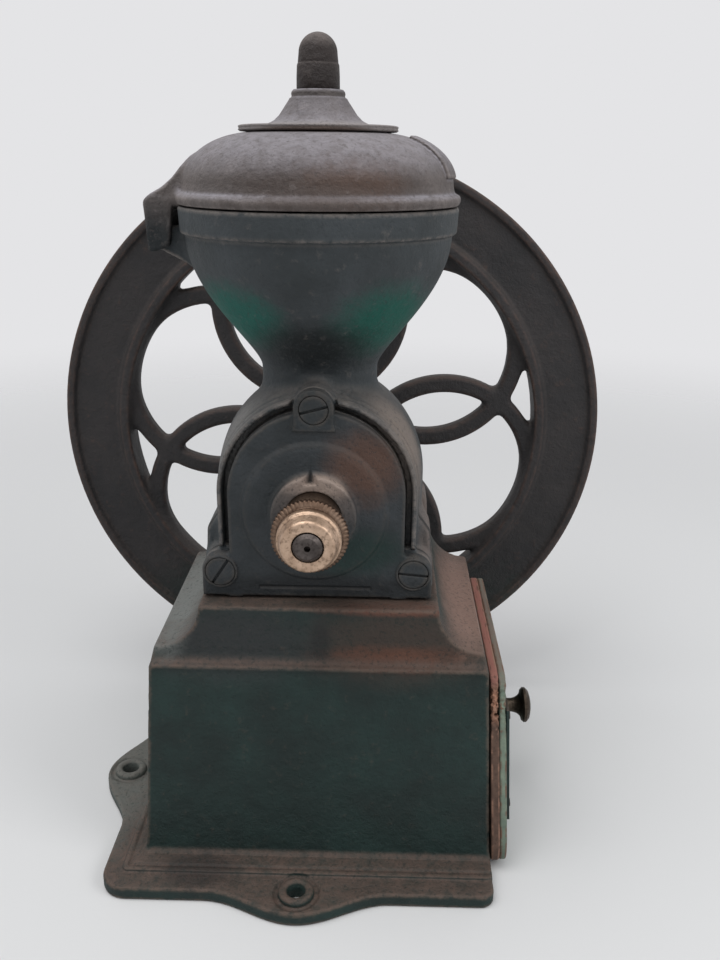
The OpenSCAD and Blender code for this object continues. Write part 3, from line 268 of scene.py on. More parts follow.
EAR_X, EAR_Y, SIDE_EAR = -6.0, 92.0, (-101.2, -10.0)
FOOT_LEFT, FOOT_RIGHT, EAR_HALF = -95.2, 82.2, 42.0
ear_steps = np.linspace(-EAR_HALF, EAR_HALF, 29)
front_ear = np.stack([EAR_X - ear_steps, -EAR_Y - ear_swell(ear_steps, 12.5, EAR_HALF)], 1)
side_ear = np.stack([FOOT_LEFT - ear_swell(ear_steps, 17.5, EAR_HALF), SIDE_EAR[1] + ear_steps], 1)
foot_plan = outline(
    arc(FOOT_RIGHT - 6, 6 - EAR_Y, 6, 6, 0, -90), front_ear,
    arc(FOOT_LEFT + 12, 12 - EAR_Y, 12, 12, -90, -180), side_ear,
    arc(FOOT_LEFT + 12, EAR_Y - 12, 12, 12, 180, 90), front_ear[::-1] * (1, -1),
    arc(FOOT_RIGHT - 6, EAR_Y - 6, 6, 6, 90, 0),
)
box_front = outline(mirrored(np.concatenate([
    [[80.9, -12], [80.2, FOOT_TOP], [76.3, 97.4]], arc(74.3, SEAT_Z, 21, 21, 270, 180)])), soft=0.6)
box_side = outline(mirrored(np.concatenate([
    [[72.4, -12], [69.5, FOOT_TOP], [56.5, 96.6], [57, 97.4], [57, 98.8], [56, 99.8]],
    arc(55.8, 105.4, 3.6, 6, 270, 180), [[52.2, SEAT_Z]]])), soft=0.6)
hollow_front = outline(mirrored([[75.6, -12], [70.8, 91.9], [47.8, 101.4], [47.8, 121]]), soft=1.0)
hollow_side = outline(mirrored([[66.9, -12], [50.7, 97.4], [46.7, 101.4], [46.7, 121]]), soft=1.0)


def foot(x, y, z):
    """The flange: a flat plate with three ears, a low step with a fine groove round the box, raised rings round the
    screw holes, and two rails for the drawer."""
    plate = corner(foot_plan(x, y), span(z, 0, 6.5), 1.1)
    step_plan = corner(span(x, -86.7, FOOT_RIGHT), span(y, -82, 82), 3)
    body = round_union(plate, corner(step_plan, span(z, 0, FOOT_TOP), 0.7), 0.8)
    line = corner(span(x, -86.7, FOOT_RIGHT + 20), span(y, -82, 82), 3)
    body = round_cut(body, np.hypot(line + 3.4, z - FOOT_TOP - 0.3) - 0.9, 0.7)
    for ear_x, ear_y in ((EAR_X, -EAR_Y), (EAR_X, EAR_Y), SIDE_EAR):
        out = np.hypot(x - ear_x, y - ear_y)
        body = round_cut(body, np.hypot(out - 9, z - 6.9) - 1.5, 0.8)
        body = round_union(body, corner(out - 7.6, span(z, 2, 6.6), 0.6), 0.6)
        body = np.minimum(body, np.hypot(out - 5.9, z - 6.4) - 2.1)
        body = round_cut(body, out - 3.75, 0.8)
    rails = corner(span(np.abs(y + 5.5), 43.6, 46.6), span(z, 3, 19.7), 0.8)
    return np.minimum(body, corner(rails, span(x, -59.1, 77), 0.8))


def box(x, y, z):
    """The hollow box on the foot with leaning walls, coved shoulders and a flat seat, open under the drawer's front
    and below the burrs."""
    outer = corner(box_front(x - BASE_X, z), box_side(y, z), 1.4)
    body = round_cut(outer, corner(hollow_front(x - BASE_X, z), hollow_side(y, z), 3), 1)
    mouth = corner(corner(68.2 - x, span(y, -49.1, 38.1), 1), z - 76.6, 1)
    body = round_cut(body, mouth, 0.8)
    body = round_cut(body, corner(corner(span(x, -20, 20), span(y, -38, 16), 1), 118 - z, 1), 0.8)
    skirt = np.maximum(round_union(body, z - FOOT_TOP + 0.05, 2.6), body - 2.1)
    return np.maximum(np.maximum(skirt, x - FOOT_RIGHT), 3.5 - z)


# Housing with the hopper

bowl_heights = np.linspace(NECK_Z, 283, 24)
bowl_rise = ((bowl_heights - NECK_Z) / (283 - NECK_Z)) ** 0.72
bowl_radii = NECK_R + 31.5 * bowl_rise ** 2 * (3 - 2 * bowl_rise)
hopper_outside = outline(
    [[-14, SHAFT_Z], [27, SHAFT_Z], [27, 209], [26.4, 214], [26.1, 220]],
    np.stack([bowl_radii, bowl_heights], 1), [[59.6, 283], [RIM_R, RIM_Z], [-14, RIM_Z]], soft=0.5)
hopper_inside = outline(
    [[-14, SHAFT_Z], [19, SHAFT_Z], [19, NECK_Z + 2]],
    np.stack([bowl_radii - 4.5, bowl_heights + 2], 1)[3:], [[53.2, RIM_Z + 6], [-14, RIM_Z + 6]], soft=0.7)
wing_side = outline([[30, 120], [52.4, 120], [52.4, SEAT_Z], [50.8, 155], [46.5, 161], [30, 161]], soft=1.2)
hinge_web = outline([[HINGE_X, 275], [-54.7, 268], [-50, 268], [-50, 285], [HINGE_X, 285]], soft=0.8)


def housing(x, y, z):
    """The arched burr chamber on its feet, the neck and the bowl. The chamber is widest at its middle and draws in
    towards its end faces as the power 1.6 of the distance. It has two fine lines round it, and a raised band and a
    deep groove run round the front plate."""
    u = x - ARCH_X
    reach = arch(u, z, ARCH_Z)
    narrower = 4.2 * np.clip(-y / 38, 0, 1) ** 1.6 + 6.5 * np.clip(y / 40, 0, 1) ** 1.6
    lines = 1.5 * np.exp(-((y + 34) / 0.95) ** 2) + 1.5 * np.exp(-((y + 28.4) / 0.95) ** 2)
    body = corner(arch(u, z, ARCH_Z - 0.5) - 47.7 + narrower + lines, span(y, -38, 40), 1.2)
    body = round_union(body, corner(wing_side(np.abs(u), z), span(np.abs(y - 1), 11, 31), 2.4), 4)
    low_lug = np.hypot(np.abs(u) - LOW_SCREW_X, np.maximum(z - LOW_SCREW_Z, 0)) - 8.3
    body = round_union(body, corner(low_lug, span(y, -38, -24), 1), 2.5)
    top_lug = np.hypot(x, np.maximum(z - TOP_SCREW_Z, 0)) - 8.6
    body = round_union(body, corner(np.maximum(top_lug, ARCH_Z - z), span(y, -38, -24), 1), 3)
    around = np.hypot(x, y)
    body = round_union(body, hopper_outside(around, z), 4)
    hinge = np.minimum(np.hypot(x - HINGE_X, z - HINGE_Z) - 6, hinge_web(x, z))
    body = round_union(body, corner(hinge, np.abs(y) - 5, 1), 3)
    body = round_cut(body, hopper_inside(around, z), 1.4)
    band = corner(np.abs(reach - 42.6) - 1.1, span(y, -40, -34), 0.8)
    body = round_union(body, np.maximum(np.maximum(band, 150 - z), 9.8 - np.hypot(x, z - TOP_SCREW_Z)), 0.8)
    groove = np.maximum(np.abs(reach - 40.2) - 1.4, np.maximum(y + 33, 150 - z))
    body = round_cut(body, np.maximum(groove, -top_lug - 0.4), 0.7)
    shaft = np.hypot(x, z - SHAFT_Z)
    body = round_cut(body, np.maximum(shaft - 34.1, y + 10.7), 0.5)
    body = round_cut(body, np.maximum(shaft - 30, y - 32), 0.5)
    body = round_cut(body, np.maximum(shaft - 10.1, 30 - y), 0.5)
    body = round_cut(body, np.maximum(np.maximum(np.abs(x) - 18, y + 31), z - 140.5), 0.5)
    return np.maximum(body, SEAT_Z - z)


# Front plate

# Place, turn of the slot in degrees and radius of the head of each screw
SCREWS = (
    (ARCH_X - LOW_SCREW_X, LOW_SCREW_Z, 57, 6.6), (ARCH_X + LOW_SCREW_X, LOW_SCREW_Z, -5, 6.6),
    (0.0, TOP_SCREW_Z, 15, 6.1))
plate_boss = outline(
    [[-14, -38], [20, -38], [32.4, -42], [32.2, -43], [31, -44.2], [28.5, -44.8], [22, -45], [19.7, -45.2],
     [18.7, -46], [18.5, -49.5], [17.9, COLLAR_FACE], [-14, COLLAR_FACE]], soft=0.3)
tab_foot = outline([[-8.6, 214.5], [-8.6, 208.5], [-9.6, 205], [9.6, 205], [8.6, 208.5], [8.6, 214.5]], soft=0.5)


def front_plate(x, y, z):
    """The arched cover: a flat border, a low swelling round the collar, a notch over it and three screw lugs."""
    u = x - ARCH_X
    border = np.maximum(arch(u, z, ARCH_Z) - 38.6, 127.8 - z)
    low_lug = np.hypot(np.abs(u) - LOW_SCREW_X, np.maximum(z - LOW_SCREW_Z, 0)) - 8.3
    flat = round_union(border, np.maximum(low_lug, 127.8 - z), 3)
    body = corner(flat, span(y, PLATE_FACE, PLATE_BACK), 0.8)
    shaft = np.hypot(x, z - SHAFT_Z)
    body = round_union(body, plate_boss(shaft, y), 0.5)
    raised = span(y, PLATE_FACE - 1.2, PLATE_BACK)
    low_disc = np.hypot(np.abs(u) - LOW_SCREW_X, z - LOW_SCREW_Z) - 7.9
    body = round_union(body, corner(low_disc, raised, 0.7), 0.5)
    top_lug = np.minimum(np.hypot(x, z - TOP_SCREW_Z) - 8.6, tab_foot(x, z))
    body = round_union(body, corner(top_lug, raised, 0.7), 0.5)
    spigot = np.maximum(np.abs(shaft - 31.4) - 2.4, span(y, -40, -31.2))
    spigot = np.maximum(spigot, np.minimum(20 - np.abs(x), z - SHAFT_Z))
    body = np.minimum(body, spigot)
    body = round_cut(body, shaft - 9.1, 0.3)
    body = round_cut(body, np.maximum(shaft - 12.1, y - PLATE_FACE), 0.5)
    for screw_x, screw_z, _, head in SCREWS:
        body = round_cut(body, np.maximum(np.hypot(x - screw_x, z - screw_z) - head - 0.15, y + 41.05), 0.3)
    body = round_cut(body, np.maximum(np.abs(x) - 25, np.hypot(y - PLATE_FACE + 0.1, z - 132.3) - 0.8), 0.3)
    notch = np.maximum(np.abs(x + 1.4) - (-44.4 - y) * 0.6, SHAFT_Z + 15 - z)
    return round_cut(body, np.maximum(notch, y + 44.8), 0.4)


def screw_heads(x, y, z):
    """Three cheese-head screws with worn rims and straight slots, sunk in the plate."""
    body = None
    for screw_x, screw_z, turn, head_r in SCREWS:
        u, v = x - screw_x, z - screw_z
        out = np.hypot(u, v)
        head = corner(out - head_r, span(y, PLATE_FACE - 1.3, -41.1), 0.5)
        head = np.minimum(head, np.maximum(out - 3, span(y, -42, -25)))
        across = u * math.sin(math.radians(turn)) - v * math.cos(math.radians(turn))
        head = round_cut(head, np.maximum(np.abs(across) - 0.55, y + 42.9), 0.3)
        body = head if body is None else np.minimum(body, head)
    return body


# Knurled nut

nut_side = outline(
    [[6.4, -80.8], [10.4, -80.8], [11.1, -80], [12.3, -75.6], [13.3, -75], [13.3, -71.4], [14.4, -71], [16.1, -70],
     [16.1, -67.7], [14.4, -66.7], [12, -66.7], [12, -44.2], [6.3, -44.2]], soft=0.3, grain=0.2)


def nut(x, y, z):
    """A turned nut with a beaded knurl."""
    around = np.arctan2(x, z - SHAFT_Z)
    beads = 0.8 * (1 - np.abs(np.cos(27 * around))) ** 1.2 * np.exp(-((y + 68.85) / 2.6) ** 4)
    return nut_side(np.hypot(x, z - SHAFT_Z) + beads * np.clip(np.hypot(x, z - SHAFT_Z) - 12, 0, 2) / 2, y)


# Flywheel

rim_side = outline(
    [[114.8, 84], [119.8, 84], [121.3, 86.5], [144.5, 86.5], [146, 84], [150, 84],
     [150, 102], [146, 102], [144.5, 99.5], [121.3, 99.5], [119.8, 102], [114.8, 102]], soft=0.7)
PETALS, PETAL_OUT, PETAL_R, PETAL_TURN = 6, 69.0, 49.6, -20.4


def wheel(x, y, z):
    """The rim with a bead at each edge, six crossing rings with round edges, and the hub."""
    w = z - SHAFT_Z
    out = np.hypot(x, w)
    pattern = None
    for angle in np.radians(PETAL_TURN + 60 * np.arange(PETALS)):
        ring = np.abs(np.hypot(x - PETAL_OUT * math.cos(angle), w - PETAL_OUT * math.sin(angle)) - PETAL_R) - 4.8
        pattern = ring if pattern is None else round_union(pattern, ring, 4)
    pattern = corner(np.maximum(pattern, out - 118), np.abs(y - WHEEL_Y) - 4.5, 2.7)
    body = round_union(rim_side(out, y), pattern, 6)
    body = round_union(body, corner(out - 20, np.abs(y - WHEEL_Y) - 15, 1.4), 5)
    body = round_cut(body, out - 6.05, 0.5)
    return round_cut(body, np.maximum(np.abs(x) - 2.05, np.abs(w - 4.2) - 4.2), 0.3)


# Lid

lid_outside = outline(
    [[-14, LID_Z], [60, LID_Z]], arc(58.4, 297, 2.4, 2.4, -45, 90, 10), [[57.9, 300.4]],
    arc(DOME_IN, DOME_Z, DOME_R - DOME_IN, DOME_TOP - DOME_Z, 0, 90, 24), [[-14, DOME_TOP]], soft=0.35)
lid_inside = outline(
    [[-14, LID_Z - 4], [52.9, LID_Z - 4]], arc(DOME_IN, DOME_Z, 26.9, 15.9, 0, 90, 18), [[-14, 318.9]], soft=0.5)
lid_arm = outline(
    [[-53.4, 295], [-61.2, 294.8], [-62.2, 291.2], [-67.5, 289.3], [-72.5, 289.3], [-73.9, 296], [-70.5, 298.8],
     [-66, 301.2], [-61.5, 304.8], [-57.6, 309], [-52, 313]], soft=0.9)
lid_cheek = outline(
    [[-62.2, 291.2], [-62.8, 284], [-63.6, 277], [-71.5, 274.4], [-72.9, 274.8], [-73.9, 295], [-70.5, 298],
     [-62.2, 296.6]], soft=0.9)


def lid(x, y, z):
    """The domed lid with its flange, a raised leaf on the drawer side, and two cheeks that hold the hinge pin."""
    around = np.hypot(x, y)
    dome = lid_outside(around, z)
    leaf = corner(dome - 1.4, np.abs(y) * 0.927 - x * 0.375, 0.7)
    body = np.minimum(dome, corner(leaf, np.maximum(305.8 - z, 40.7 - around), 0.7))
    arm = corner(lid_arm(x, z), np.abs(y) - 10.3, 1.2)
    body = round_union(body, arm, 4)
    body = round_union(body, corner(lid_cheek(x, z), span(np.abs(y), 5.3, 10.6), 1), 1.5)
    gap = np.maximum(np.abs(y) - 5.3, np.maximum(x + 61, z - 291.6))
    return np.maximum(round_cut(body, lid_inside(around, z), 1), -gap)


# Materials

NOISE, RANGE, MATH, MIX = "ShaderNodeTexNoise", "ShaderNodeMapRange", "ShaderNodeMath", "ShaderNodeMix"
VECTOR, BUMP, ATTRIBUTE = "ShaderNodeVectorMath", "ShaderNodeBump", "ShaderNodeAttribute"
SMOOTH = {"interpolation_type": "SMOOTHSTEP"}
COLOURS = {"data_type": "RGBA"}
TIMES = {"operation": "MULTIPLY", "use_clamp": True}
PLUS = {"operation": "ADD", "use_clamp": True}
TIMES_PLUS = {"operation": "MULTIPLY_ADD"}
BEND = {"attribute_name": "bend"}


def rgb(text):
    """A hex sRGB colour as linear red, green, blue and alpha."""
    parts = [int(text[i : i + 2], 16) / 255 for i in (1, 3, 5)]
    return [c / 12.92 if c <= 0.04045 else ((c + 0.055) / 1.055) ** 2.4 for c in parts] + [1.0]


def add(tree, kind, settings=None, out=0, **inputs):
    """Adds a node and returns one of its outputs. settings are the node's own attributes. An input is a value, or an
    output to link, by the socket's name with _ for a space or by its number after an n."""
    node = tree.nodes.new(kind)
    for name, value in (settings or {}).items():
        setattr(node, name, value)
    for name, value in inputs.items():
        key = int(name[1:]) if name[0] == "n" and name[1:].isdigit() else name.replace("_", " ")
        if isinstance(value, bpy.types.NodeSocket):
            tree.links.new(value, node.inputs[key])
        else:
            node.inputs[key].default_value = value
    return node.outputs[out]


def shader(name, **settings):
    """A new material with its node tree, its shader node and the object's own coordinates."""
    material = bpy.data.materials.new(name)
    material.use_nodes = True
    tree = material.node_tree
    bsdf = tree.nodes["Principled BSDF"]
    for key, value in settings.items():
        bsdf.inputs[key.replace("_", " ")].default_value = value
    return material, tree, bsdf, tree.nodes.new("ShaderNodeTexCoord")


def stain_or_shade(centre, size, colour, amount=0.8, ragged=0.4):
    """An oval stain or patch of painted shade: its centre and half widths in millimetres, its colour, how much it
    covers, how ragged it is.
    """
    return centre, size, colour, amount, ragged


def stained_and_shaded(tree, at, colour, stains_and_shades):
    """Lays stains and patches of painted shade over a colour, each faded out over an edge that 10 mm clouds make
    ragged.
    """
    clouds = add(tree, NOISE, Vector=at, Scale=1000 / 10, Detail=6, Roughness=0.75)
    for centre, size, tint, amount, ragged in stains_and_shades:
        away = add(tree, VECTOR, {"operation": "SUBTRACT"}, n0=at, n1=[c * MM for c in centre])
        away = add(tree, VECTOR, {"operation": "DIVIDE"}, n0=away, n1=[s * MM for s in size])
        away = add(tree, VECTOR, {"operation": "LENGTH"}, out=1, n0=away)
        away = add(tree, MATH, TIMES_PLUS, n0=clouds, n1=2 * ragged, n2=away)
        cover = add(tree, RANGE, SMOOTH, Value=away, From_Min=1.25 + ragged, From_Max=0.35 + ragged, To_Max=amount)
        colour = add(tree, MIX, COLOURS, out=2, n0=cover, n6=colour, n7=rgb(tint))
    return colour


def cast_iron(name, dark, light, dust, worn, laid=0.6, rub=0.6, under=(), above=(), roughness=0.62, grain=0.55,
              flecks=0.3):
    """Old sand-cast iron under thin, worn paint. The paint is cloudy over 26 mm, with stains and painted shade under
    the dust and above it. Handling has rubbed the edges lighter in 5 mm patches, dust has settled in the hollows and
    on what faces up, and the sand of the mould left pits 1.6 mm apart."""
    material, tree, bsdf, place = shader(name, Specular_IOR_Level=0.35)
    at = place.outputs["Object"]
    clouds = add(tree, NOISE, Vector=at, Scale=1000 / 26, Detail=5, Roughness=0.6)
    spots = add(tree, NOISE, Vector=at, Scale=1000 / 5, Detail=6, Roughness=0.7)
    pits = add(tree, NOISE, Vector=at, Scale=1000 / 1.6, Detail=3, Roughness=0.6)
    waves = add(tree, NOISE, Vector=at, Scale=1000 / 14, Detail=2, Roughness=0.6)
    bend = add(tree, ATTRIBUTE, BEND, out=2)
    up = add(tree, "ShaderNodeSeparateXYZ", out=2, Vector=place.outputs["Normal"])

    cover = add(tree, RANGE, Value=clouds, From_Min=0.36, From_Max=0.66)
    colour = add(tree, MIX, COLOURS, out=2, n0=cover, n6=rgb(dark), n7=rgb(light))
    colour = stained_and_shaded(tree, at, colour, under)

    edges = add(tree, RANGE, SMOOTH, Value=bend, From_Min=0.12, From_Max=0.75, To_Max=rub)
    broken = add(tree, RANGE, SMOOTH, Value=spots, From_Min=0.3, From_Max=0.62)
    cover = add(tree, MATH, TIMES, n0=edges, n1=broken)
    colour = add(tree, MIX, COLOURS, out=2, n0=cover, n6=colour, n7=rgb(worn))

    upper = add(tree, RANGE, SMOOTH, Value=up, From_Min=0.1, From_Max=0.95, To_Max=laid)
    hollows = add(tree, RANGE, SMOOTH, Value=bend, From_Min=-0.1, From_Max=-0.6, To_Max=0.6 * laid)
    settled = add(tree, MATH, PLUS, n0=upper, n1=hollows)
    broken = add(tree, RANGE, SMOOTH, Value=spots, From_Min=0.25, From_Max=0.68, To_Min=0.4)
    cover = add(tree, MATH, TIMES, n0=settled, n1=broken)
    colour = add(tree, MIX, COLOURS, out=2, n0=cover, n6=colour, n7=rgb(dust))
    colour = stained_and_shaded(tree, at, colour, above)

    cover = add(tree, RANGE, SMOOTH, Value=spots, From_Min=0.56, From_Max=0.74, To_Max=flecks)
    colour = add(tree, MIX, COLOURS, out=2, n0=cover, n6=colour, n7=rgb(worn))
    cover = add(tree, RANGE, SMOOTH, Value=pits, From_Min=0.46, From_Max=0.32, To_Max=0.5)
    colour = add(tree, MIX, COLOURS, out=2, n0=cover, n6=colour, n7=rgb(dark))
    tree.links.new(colour, bsdf.inputs["Base Color"])

    shine = add(tree, RANGE, Value=clouds, To_Min=roughness - 0.1, To_Max=roughness + 0.14)
    tree.links.new(shine, bsdf.inputs["Roughness"])
    height = add(tree, MATH, TIMES_PLUS, n0=spots, n1=2.4, n2=pits)
    height = add(tree, MATH, TIMES_PLUS, n0=waves, n1=2.6, n2=height)
    bump = add(tree, BUMP, Strength=grain, Distance=0.7 * MM, Height=height)
    tree.links.new(bump, bsdf.inputs["Normal"])
    return material


def bare_metal(name, dark, light, roughness, dirt, above=()):
    """Bare metal gone dull with handling and age: cloudy over 9 mm, with dirt in its hollows and in 1.6 mm specks."""
    material, tree, bsdf, place = shader(name, Metallic=1.0)
    at = place.outputs["Object"]
    clouds = add(tree, NOISE, Vector=at, Scale=1000 / 9, Detail=6, Roughness=0.65)
    specks = add(tree, NOISE, Vector=at, Scale=1000 / 1.6, Detail=4, Roughness=0.6)
    bend = add(tree, ATTRIBUTE, BEND, out=2)

    cover = add(tree, RANGE, Value=clouds, From_Min=0.35, From_Max=0.65)
    colour = add(tree, MIX, COLOURS, out=2, n0=cover, n6=rgb(dark), n7=rgb(light))
    hollows = add(tree, RANGE, SMOOTH, Value=bend, From_Min=0, From_Max=-0.7, To_Max=0.8)
    broken = add(tree, RANGE, SMOOTH, Value=specks, From_Min=0.5, From_Max=0.34, To_Max=0.5)
    cover = add(tree, MATH, PLUS, n0=hollows, n1=broken)
    colour = add(tree, MIX, COLOURS, out=2, n0=cover, n6=colour, n7=rgb(dirt))
    tree.links.new(stained_and_shaded(tree, at, colour, above), bsdf.inputs["Base Color"])

    shine = add(tree, RANGE, Value=specks, To_Min=roughness + 0.14, To_Max=roughness - 0.08)
    tree.links.new(shine, bsdf.inputs["Roughness"])
    bump = add(tree, BUMP, Strength=0.45, Distance=0.3 * MM, Height=specks)
    tree.links.new(bump, bsdf.inputs["Normal"])
    return material


def old_wood(name, dark, light, bare, worn_edges=0.0, above=()):
    """Old beech. The grain is 5 mm wide and the open pores 1.1 mm, both drawn out about eight times along Y, and
    the fibres are bare where an edge is worn in 7 mm patches."""
    material, tree, bsdf, place = shader(name, Roughness=0.75, Specular_IOR_Level=0.35)
    at = place.outputs["Object"]
    drawn = add(tree, "ShaderNodeMapping", Vector=at, Scale=(1, 0.12, 1))
    grain = add(tree, NOISE, Vector=drawn, Scale=1000 / 5, Detail=6, Roughness=0.6)
    pores = add(tree, NOISE, Vector=drawn, Scale=1000 / 1.1, Detail=3, Roughness=0.6)
    patches = add(tree, NOISE, Vector=at, Scale=1000 / 7, Detail=5, Roughness=0.6)
    bend = add(tree, ATTRIBUTE, BEND, out=2)

    cover = add(tree, RANGE, Value=grain, From_Min=0.3, From_Max=0.7)
    colour = add(tree, MIX, COLOURS, out=2, n0=cover, n6=rgb(dark), n7=rgb(light))
    colour = stained_and_shaded(tree, at, colour, above)
    edges = add(tree, RANGE, SMOOTH, Value=bend, From_Min=0.15, From_Max=0.9, To_Max=worn_edges)
    broken = add(tree, RANGE, SMOOTH, Value=patches, From_Min=0.42, From_Max=0.62)
    cover = add(tree, MATH, TIMES, n0=edges, n1=broken)
    colour = add(tree, MIX, COLOURS, out=2, n0=cover, n6=colour, n7=rgb(bare))
    cover = add(tree, RANGE, SMOOTH, Value=pores, From_Min=0.44, From_Max=0.32, To_Max=0.6)
    colour = add(tree, MIX, COLOURS, out=2, n0=cover, n6=colour, n7=rgb(dark))
    tree.links.new(colour, bsdf.inputs["Base Color"])

    height = add(tree, MATH, {"operation": "ADD"}, n0=grain, n1=pores)
    bump = add(tree, BUMP, Strength=0.4, Distance=0.4 * MM, Height=height)
    tree.links.new(bump, bsdf.inputs["Normal"])
    return material


# Grey iron cast in sand and brushed with oil paint long ago. The paint stays a cold green-black on the walls, brown
# dirt has settled on the foot and the slopes, and red rust comes through over the drawer side.
# On the front towards the drawer, a lighter rust-brown band along the fold is rust with a painted highlight on the
# fold.
base_iron = cast_iron(
    "painted_cast_iron_base", "#12211f", "#1d312e", "#594941", "#6b5b50", 0.85, 0.65,
    [stain_or_shade((0, 0, 34), (100, 84, 22), "#0d1a18", 0.6), stain_or_shade((38, -54, 110), (46, 16, 20), "#43362f", 0.75),
     stain_or_shade((-36, -54, 110), (44, 16, 20), "#2f3031", 0.8), stain_or_shade((38, -58, 104), (42, 10, 6.5), "#6a4434", 0.75),
     stain_or_shade((40, -52, 126), (40, 10, 3), "#6b4436", 0.7), stain_or_shade((3, -53, 108), (5, 12, 14), "#1b1c1d", 0.6)],
    [stain_or_shade((72, 0, 112), (15, 66, 15), "#92766a", 0.85), stain_or_shade((-68, 0, 112), (15, 66, 17), "#7b7e7b", 0.85),
     stain_or_shade((-52, -80, 8), (24, 12, 6), "#2a2422", 0.75), stain_or_shade((-100, -6, 8), (20, 70, 7), "#6f726d", 0.6)],
    flecks=0.15)
# The same iron and paint higher up, dried to a chalky blue grey. The bowl keeps glossy bottle green in the curve that
# hands don't reach and is nearly black at the neck, and its edges shine a little where they were rubbed.
# The two thin dark lines in the fine grooves round the chamber are painted shade.
housing_iron = cast_iron(
    "painted_cast_iron_housing", "#2e3335", "#3f4447", "#6a6561", "#78716c", 0.65, 0.85,
    [stain_or_shade((-34, -32, 250), (25, 40, 17), "#02564b", 0.97), stain_or_shade((32, -36, 248), (27, 36, 19), "#025044", 0.97),
     stain_or_shade((0, -30, 240), (27, 26, 15), "#060c0d", 0.9)],
    [stain_or_shade((36, -24, 195), (17, 18, 36), "#8a7d74", 0.75), stain_or_shade((-38, -24, 195), (16, 18, 36), "#7a7876", 0.7),
     stain_or_shade((50, 0, 150), (6, 50, 22), "#7a6c65", 0.65), stain_or_shade((0, -34, 165), (200, 1.1, 46), "#17191a", 0.85, 0.1),
     stain_or_shade((0, -28.4, 165), (200, 1.1, 46), "#17191a", 0.85, 0.1)])
# A thinner casting that is touched each time the grind is set. Grease keeps it dark and smooth, with brown rust where
# coffee oil dried and a pale, dry top on the collar.
# A dark green patch low on the right of the collar's swelling is painted shade with a painted green reflection.
plate_iron = cast_iron(
    "painted_cast_iron_plate", "#24292b", "#373b3e", "#4b4744", "#4d4741", 0.4, 0.5,
    [stain_or_shade((22, -44, 190), (18, 12, 18), "#5f4437", 0.75), stain_or_shade((18, -43, 150), (22, 10, 14), "#0c2b26", 0.75),
     stain_or_shade((0, -43, 133), (52, 8, 7), "#181a1c", 0.8)],
    [stain_or_shade((0, -50.5, 176), (22, 3, 15), "#746a65", 0.75, 0.25),
     stain_or_shade((4, -50, 184), (19, 5, 7), "#a08f84", 0.95, 0.25)])
# Iron painted with a brown undercoat that lost its top coat. It lies flat, so it gathers the most dust and reads as
# a pale, rough mauve grey, with browner skin low at the front where a hand lifts it. Painted shade darkens the front
# of the dome and of its flange.
lid_iron = cast_iron(
    "dusty_cast_iron_lid", "#524c4a", "#6c6461", "#969298", "#8d8481", 0.75, 0.7,
    # painted shade on the front of the dome, with a brown tint over it
    [stain_or_shade((6, -48, 304), (42, 28, 16), "#453a35", 0.85), stain_or_shade((16, -50, 304), (22, 16, 11), "#634b3e", 0.5)],
    # painted shade on the hinge cheeks and the pin between them, and on the front of the flange
    [stain_or_shade((-70, 0, 279), (17, 30, 19), "#1e2325", 1.0, 0.15), stain_or_shade((4, -60, 299), (34, 22, 7), "#544a46", 0.65),
     stain_or_shade((0, 0, 325), (80, 80, 2.4), "#918a88", 0.8, 0.1),
     # painted shadow in a thin dark line under the front of the knob's disc, where it overhangs the dome
     stain_or_shade((0, -33, 324.1), (36, 12, 1.3), "#54453d", 0.9, 0.1)],
    0.66, 0.9)
# A heavy casting under thick brown-black bitumen paint. It is the most even of them, warm on the worn edges of the
# rim and the rings, and greener low down where nobody takes hold of it.
wheel_iron = cast_iron(
    "painted_cast_iron_wheel", "#2a292a", "#373434", "#51453e", "#614a40", 0.5, 0.75,
    [stain_or_shade((0, 93, 48), (130, 30, 46), "#14302a", 0.75)])
# Iron that fingers have polished and greased, so it is dark, brown and smoother than the lid, with deep casting pits.
knob_iron = cast_iron(
    "handled_cast_iron_knob", "#251e1c", "#352c29", "#7c726e", "#6d625d", 0.65, 0.5, roughness=0.55, grain=0.9)
# Turned steel that has browned with age. It has a dull grey sheen and keeps oily dirt in its centre hole.
aged_steel = bare_metal("aged_steel", "#45403e", "#6a6360", 0.5, "#2a2523")
# Cast and turned bronze under a dark brown skin, with a warm sheen on the rim that fingers pull.
dark_bronze = bare_metal("dark_bronze", "#3d352e", "#60564b", 0.42, "#241e1a")
# Turned and knurled brass. Its face is rubbed to a soft pink gold, the knurl is brown with dirt, and the shank is
# darkened with dirt and painted shade from the collar and the knurl.
worn_brass = bare_metal(
    "worn_brass", "#a58b76", "#d5baa3", 0.47, "#4d3d32",
    [stain_or_shade((0, -67, SHAFT_Z), (60, 7, 60), "#4e3c32", 0.92, 0.15),
     stain_or_shade((0, -51, SHAFT_Z), (22, 15, 22), "#1c1613", 0.97, 0.1)])
# Sawn beech under a brown stain that has gone dry. It is dull, with open pores, a brick red upper edge and pale bare
# fibres where the corner crumbles.
inner_wood = old_wood(
    "stained_beech", "#42322a", "#665044", "#8a6a59", 1.0,
    [stain_or_shade((79, 0, 96), (20, 100, 7), "#9a675c", 0.92, 0.2), stain_or_shade((82, -60, 83), (8, 12, 9), "#a87a63", 0.9, 0.2)])
# Thin beech under flat grey-green paint that has faded and chalked, with the brown wood showing at its edges.
faded_wood = old_wood(
    "faded_green_paint_on_wood", "#647367", "#85907e", "#6b5244", 1.0,
    [stain_or_shade((79, 0, 97), (20, 100, 8), "#77625a", 0.8, 0.2), stain_or_shade((86, 0, 14), (14, 100, 22), "#4d5a50", 0.6)])
# Turned beech without paint, darkened by hands to a red brown that still shows its grain.
grip_wood = old_wood("handled_beech_grip", "#47291d", "#75503c", "#75503c")

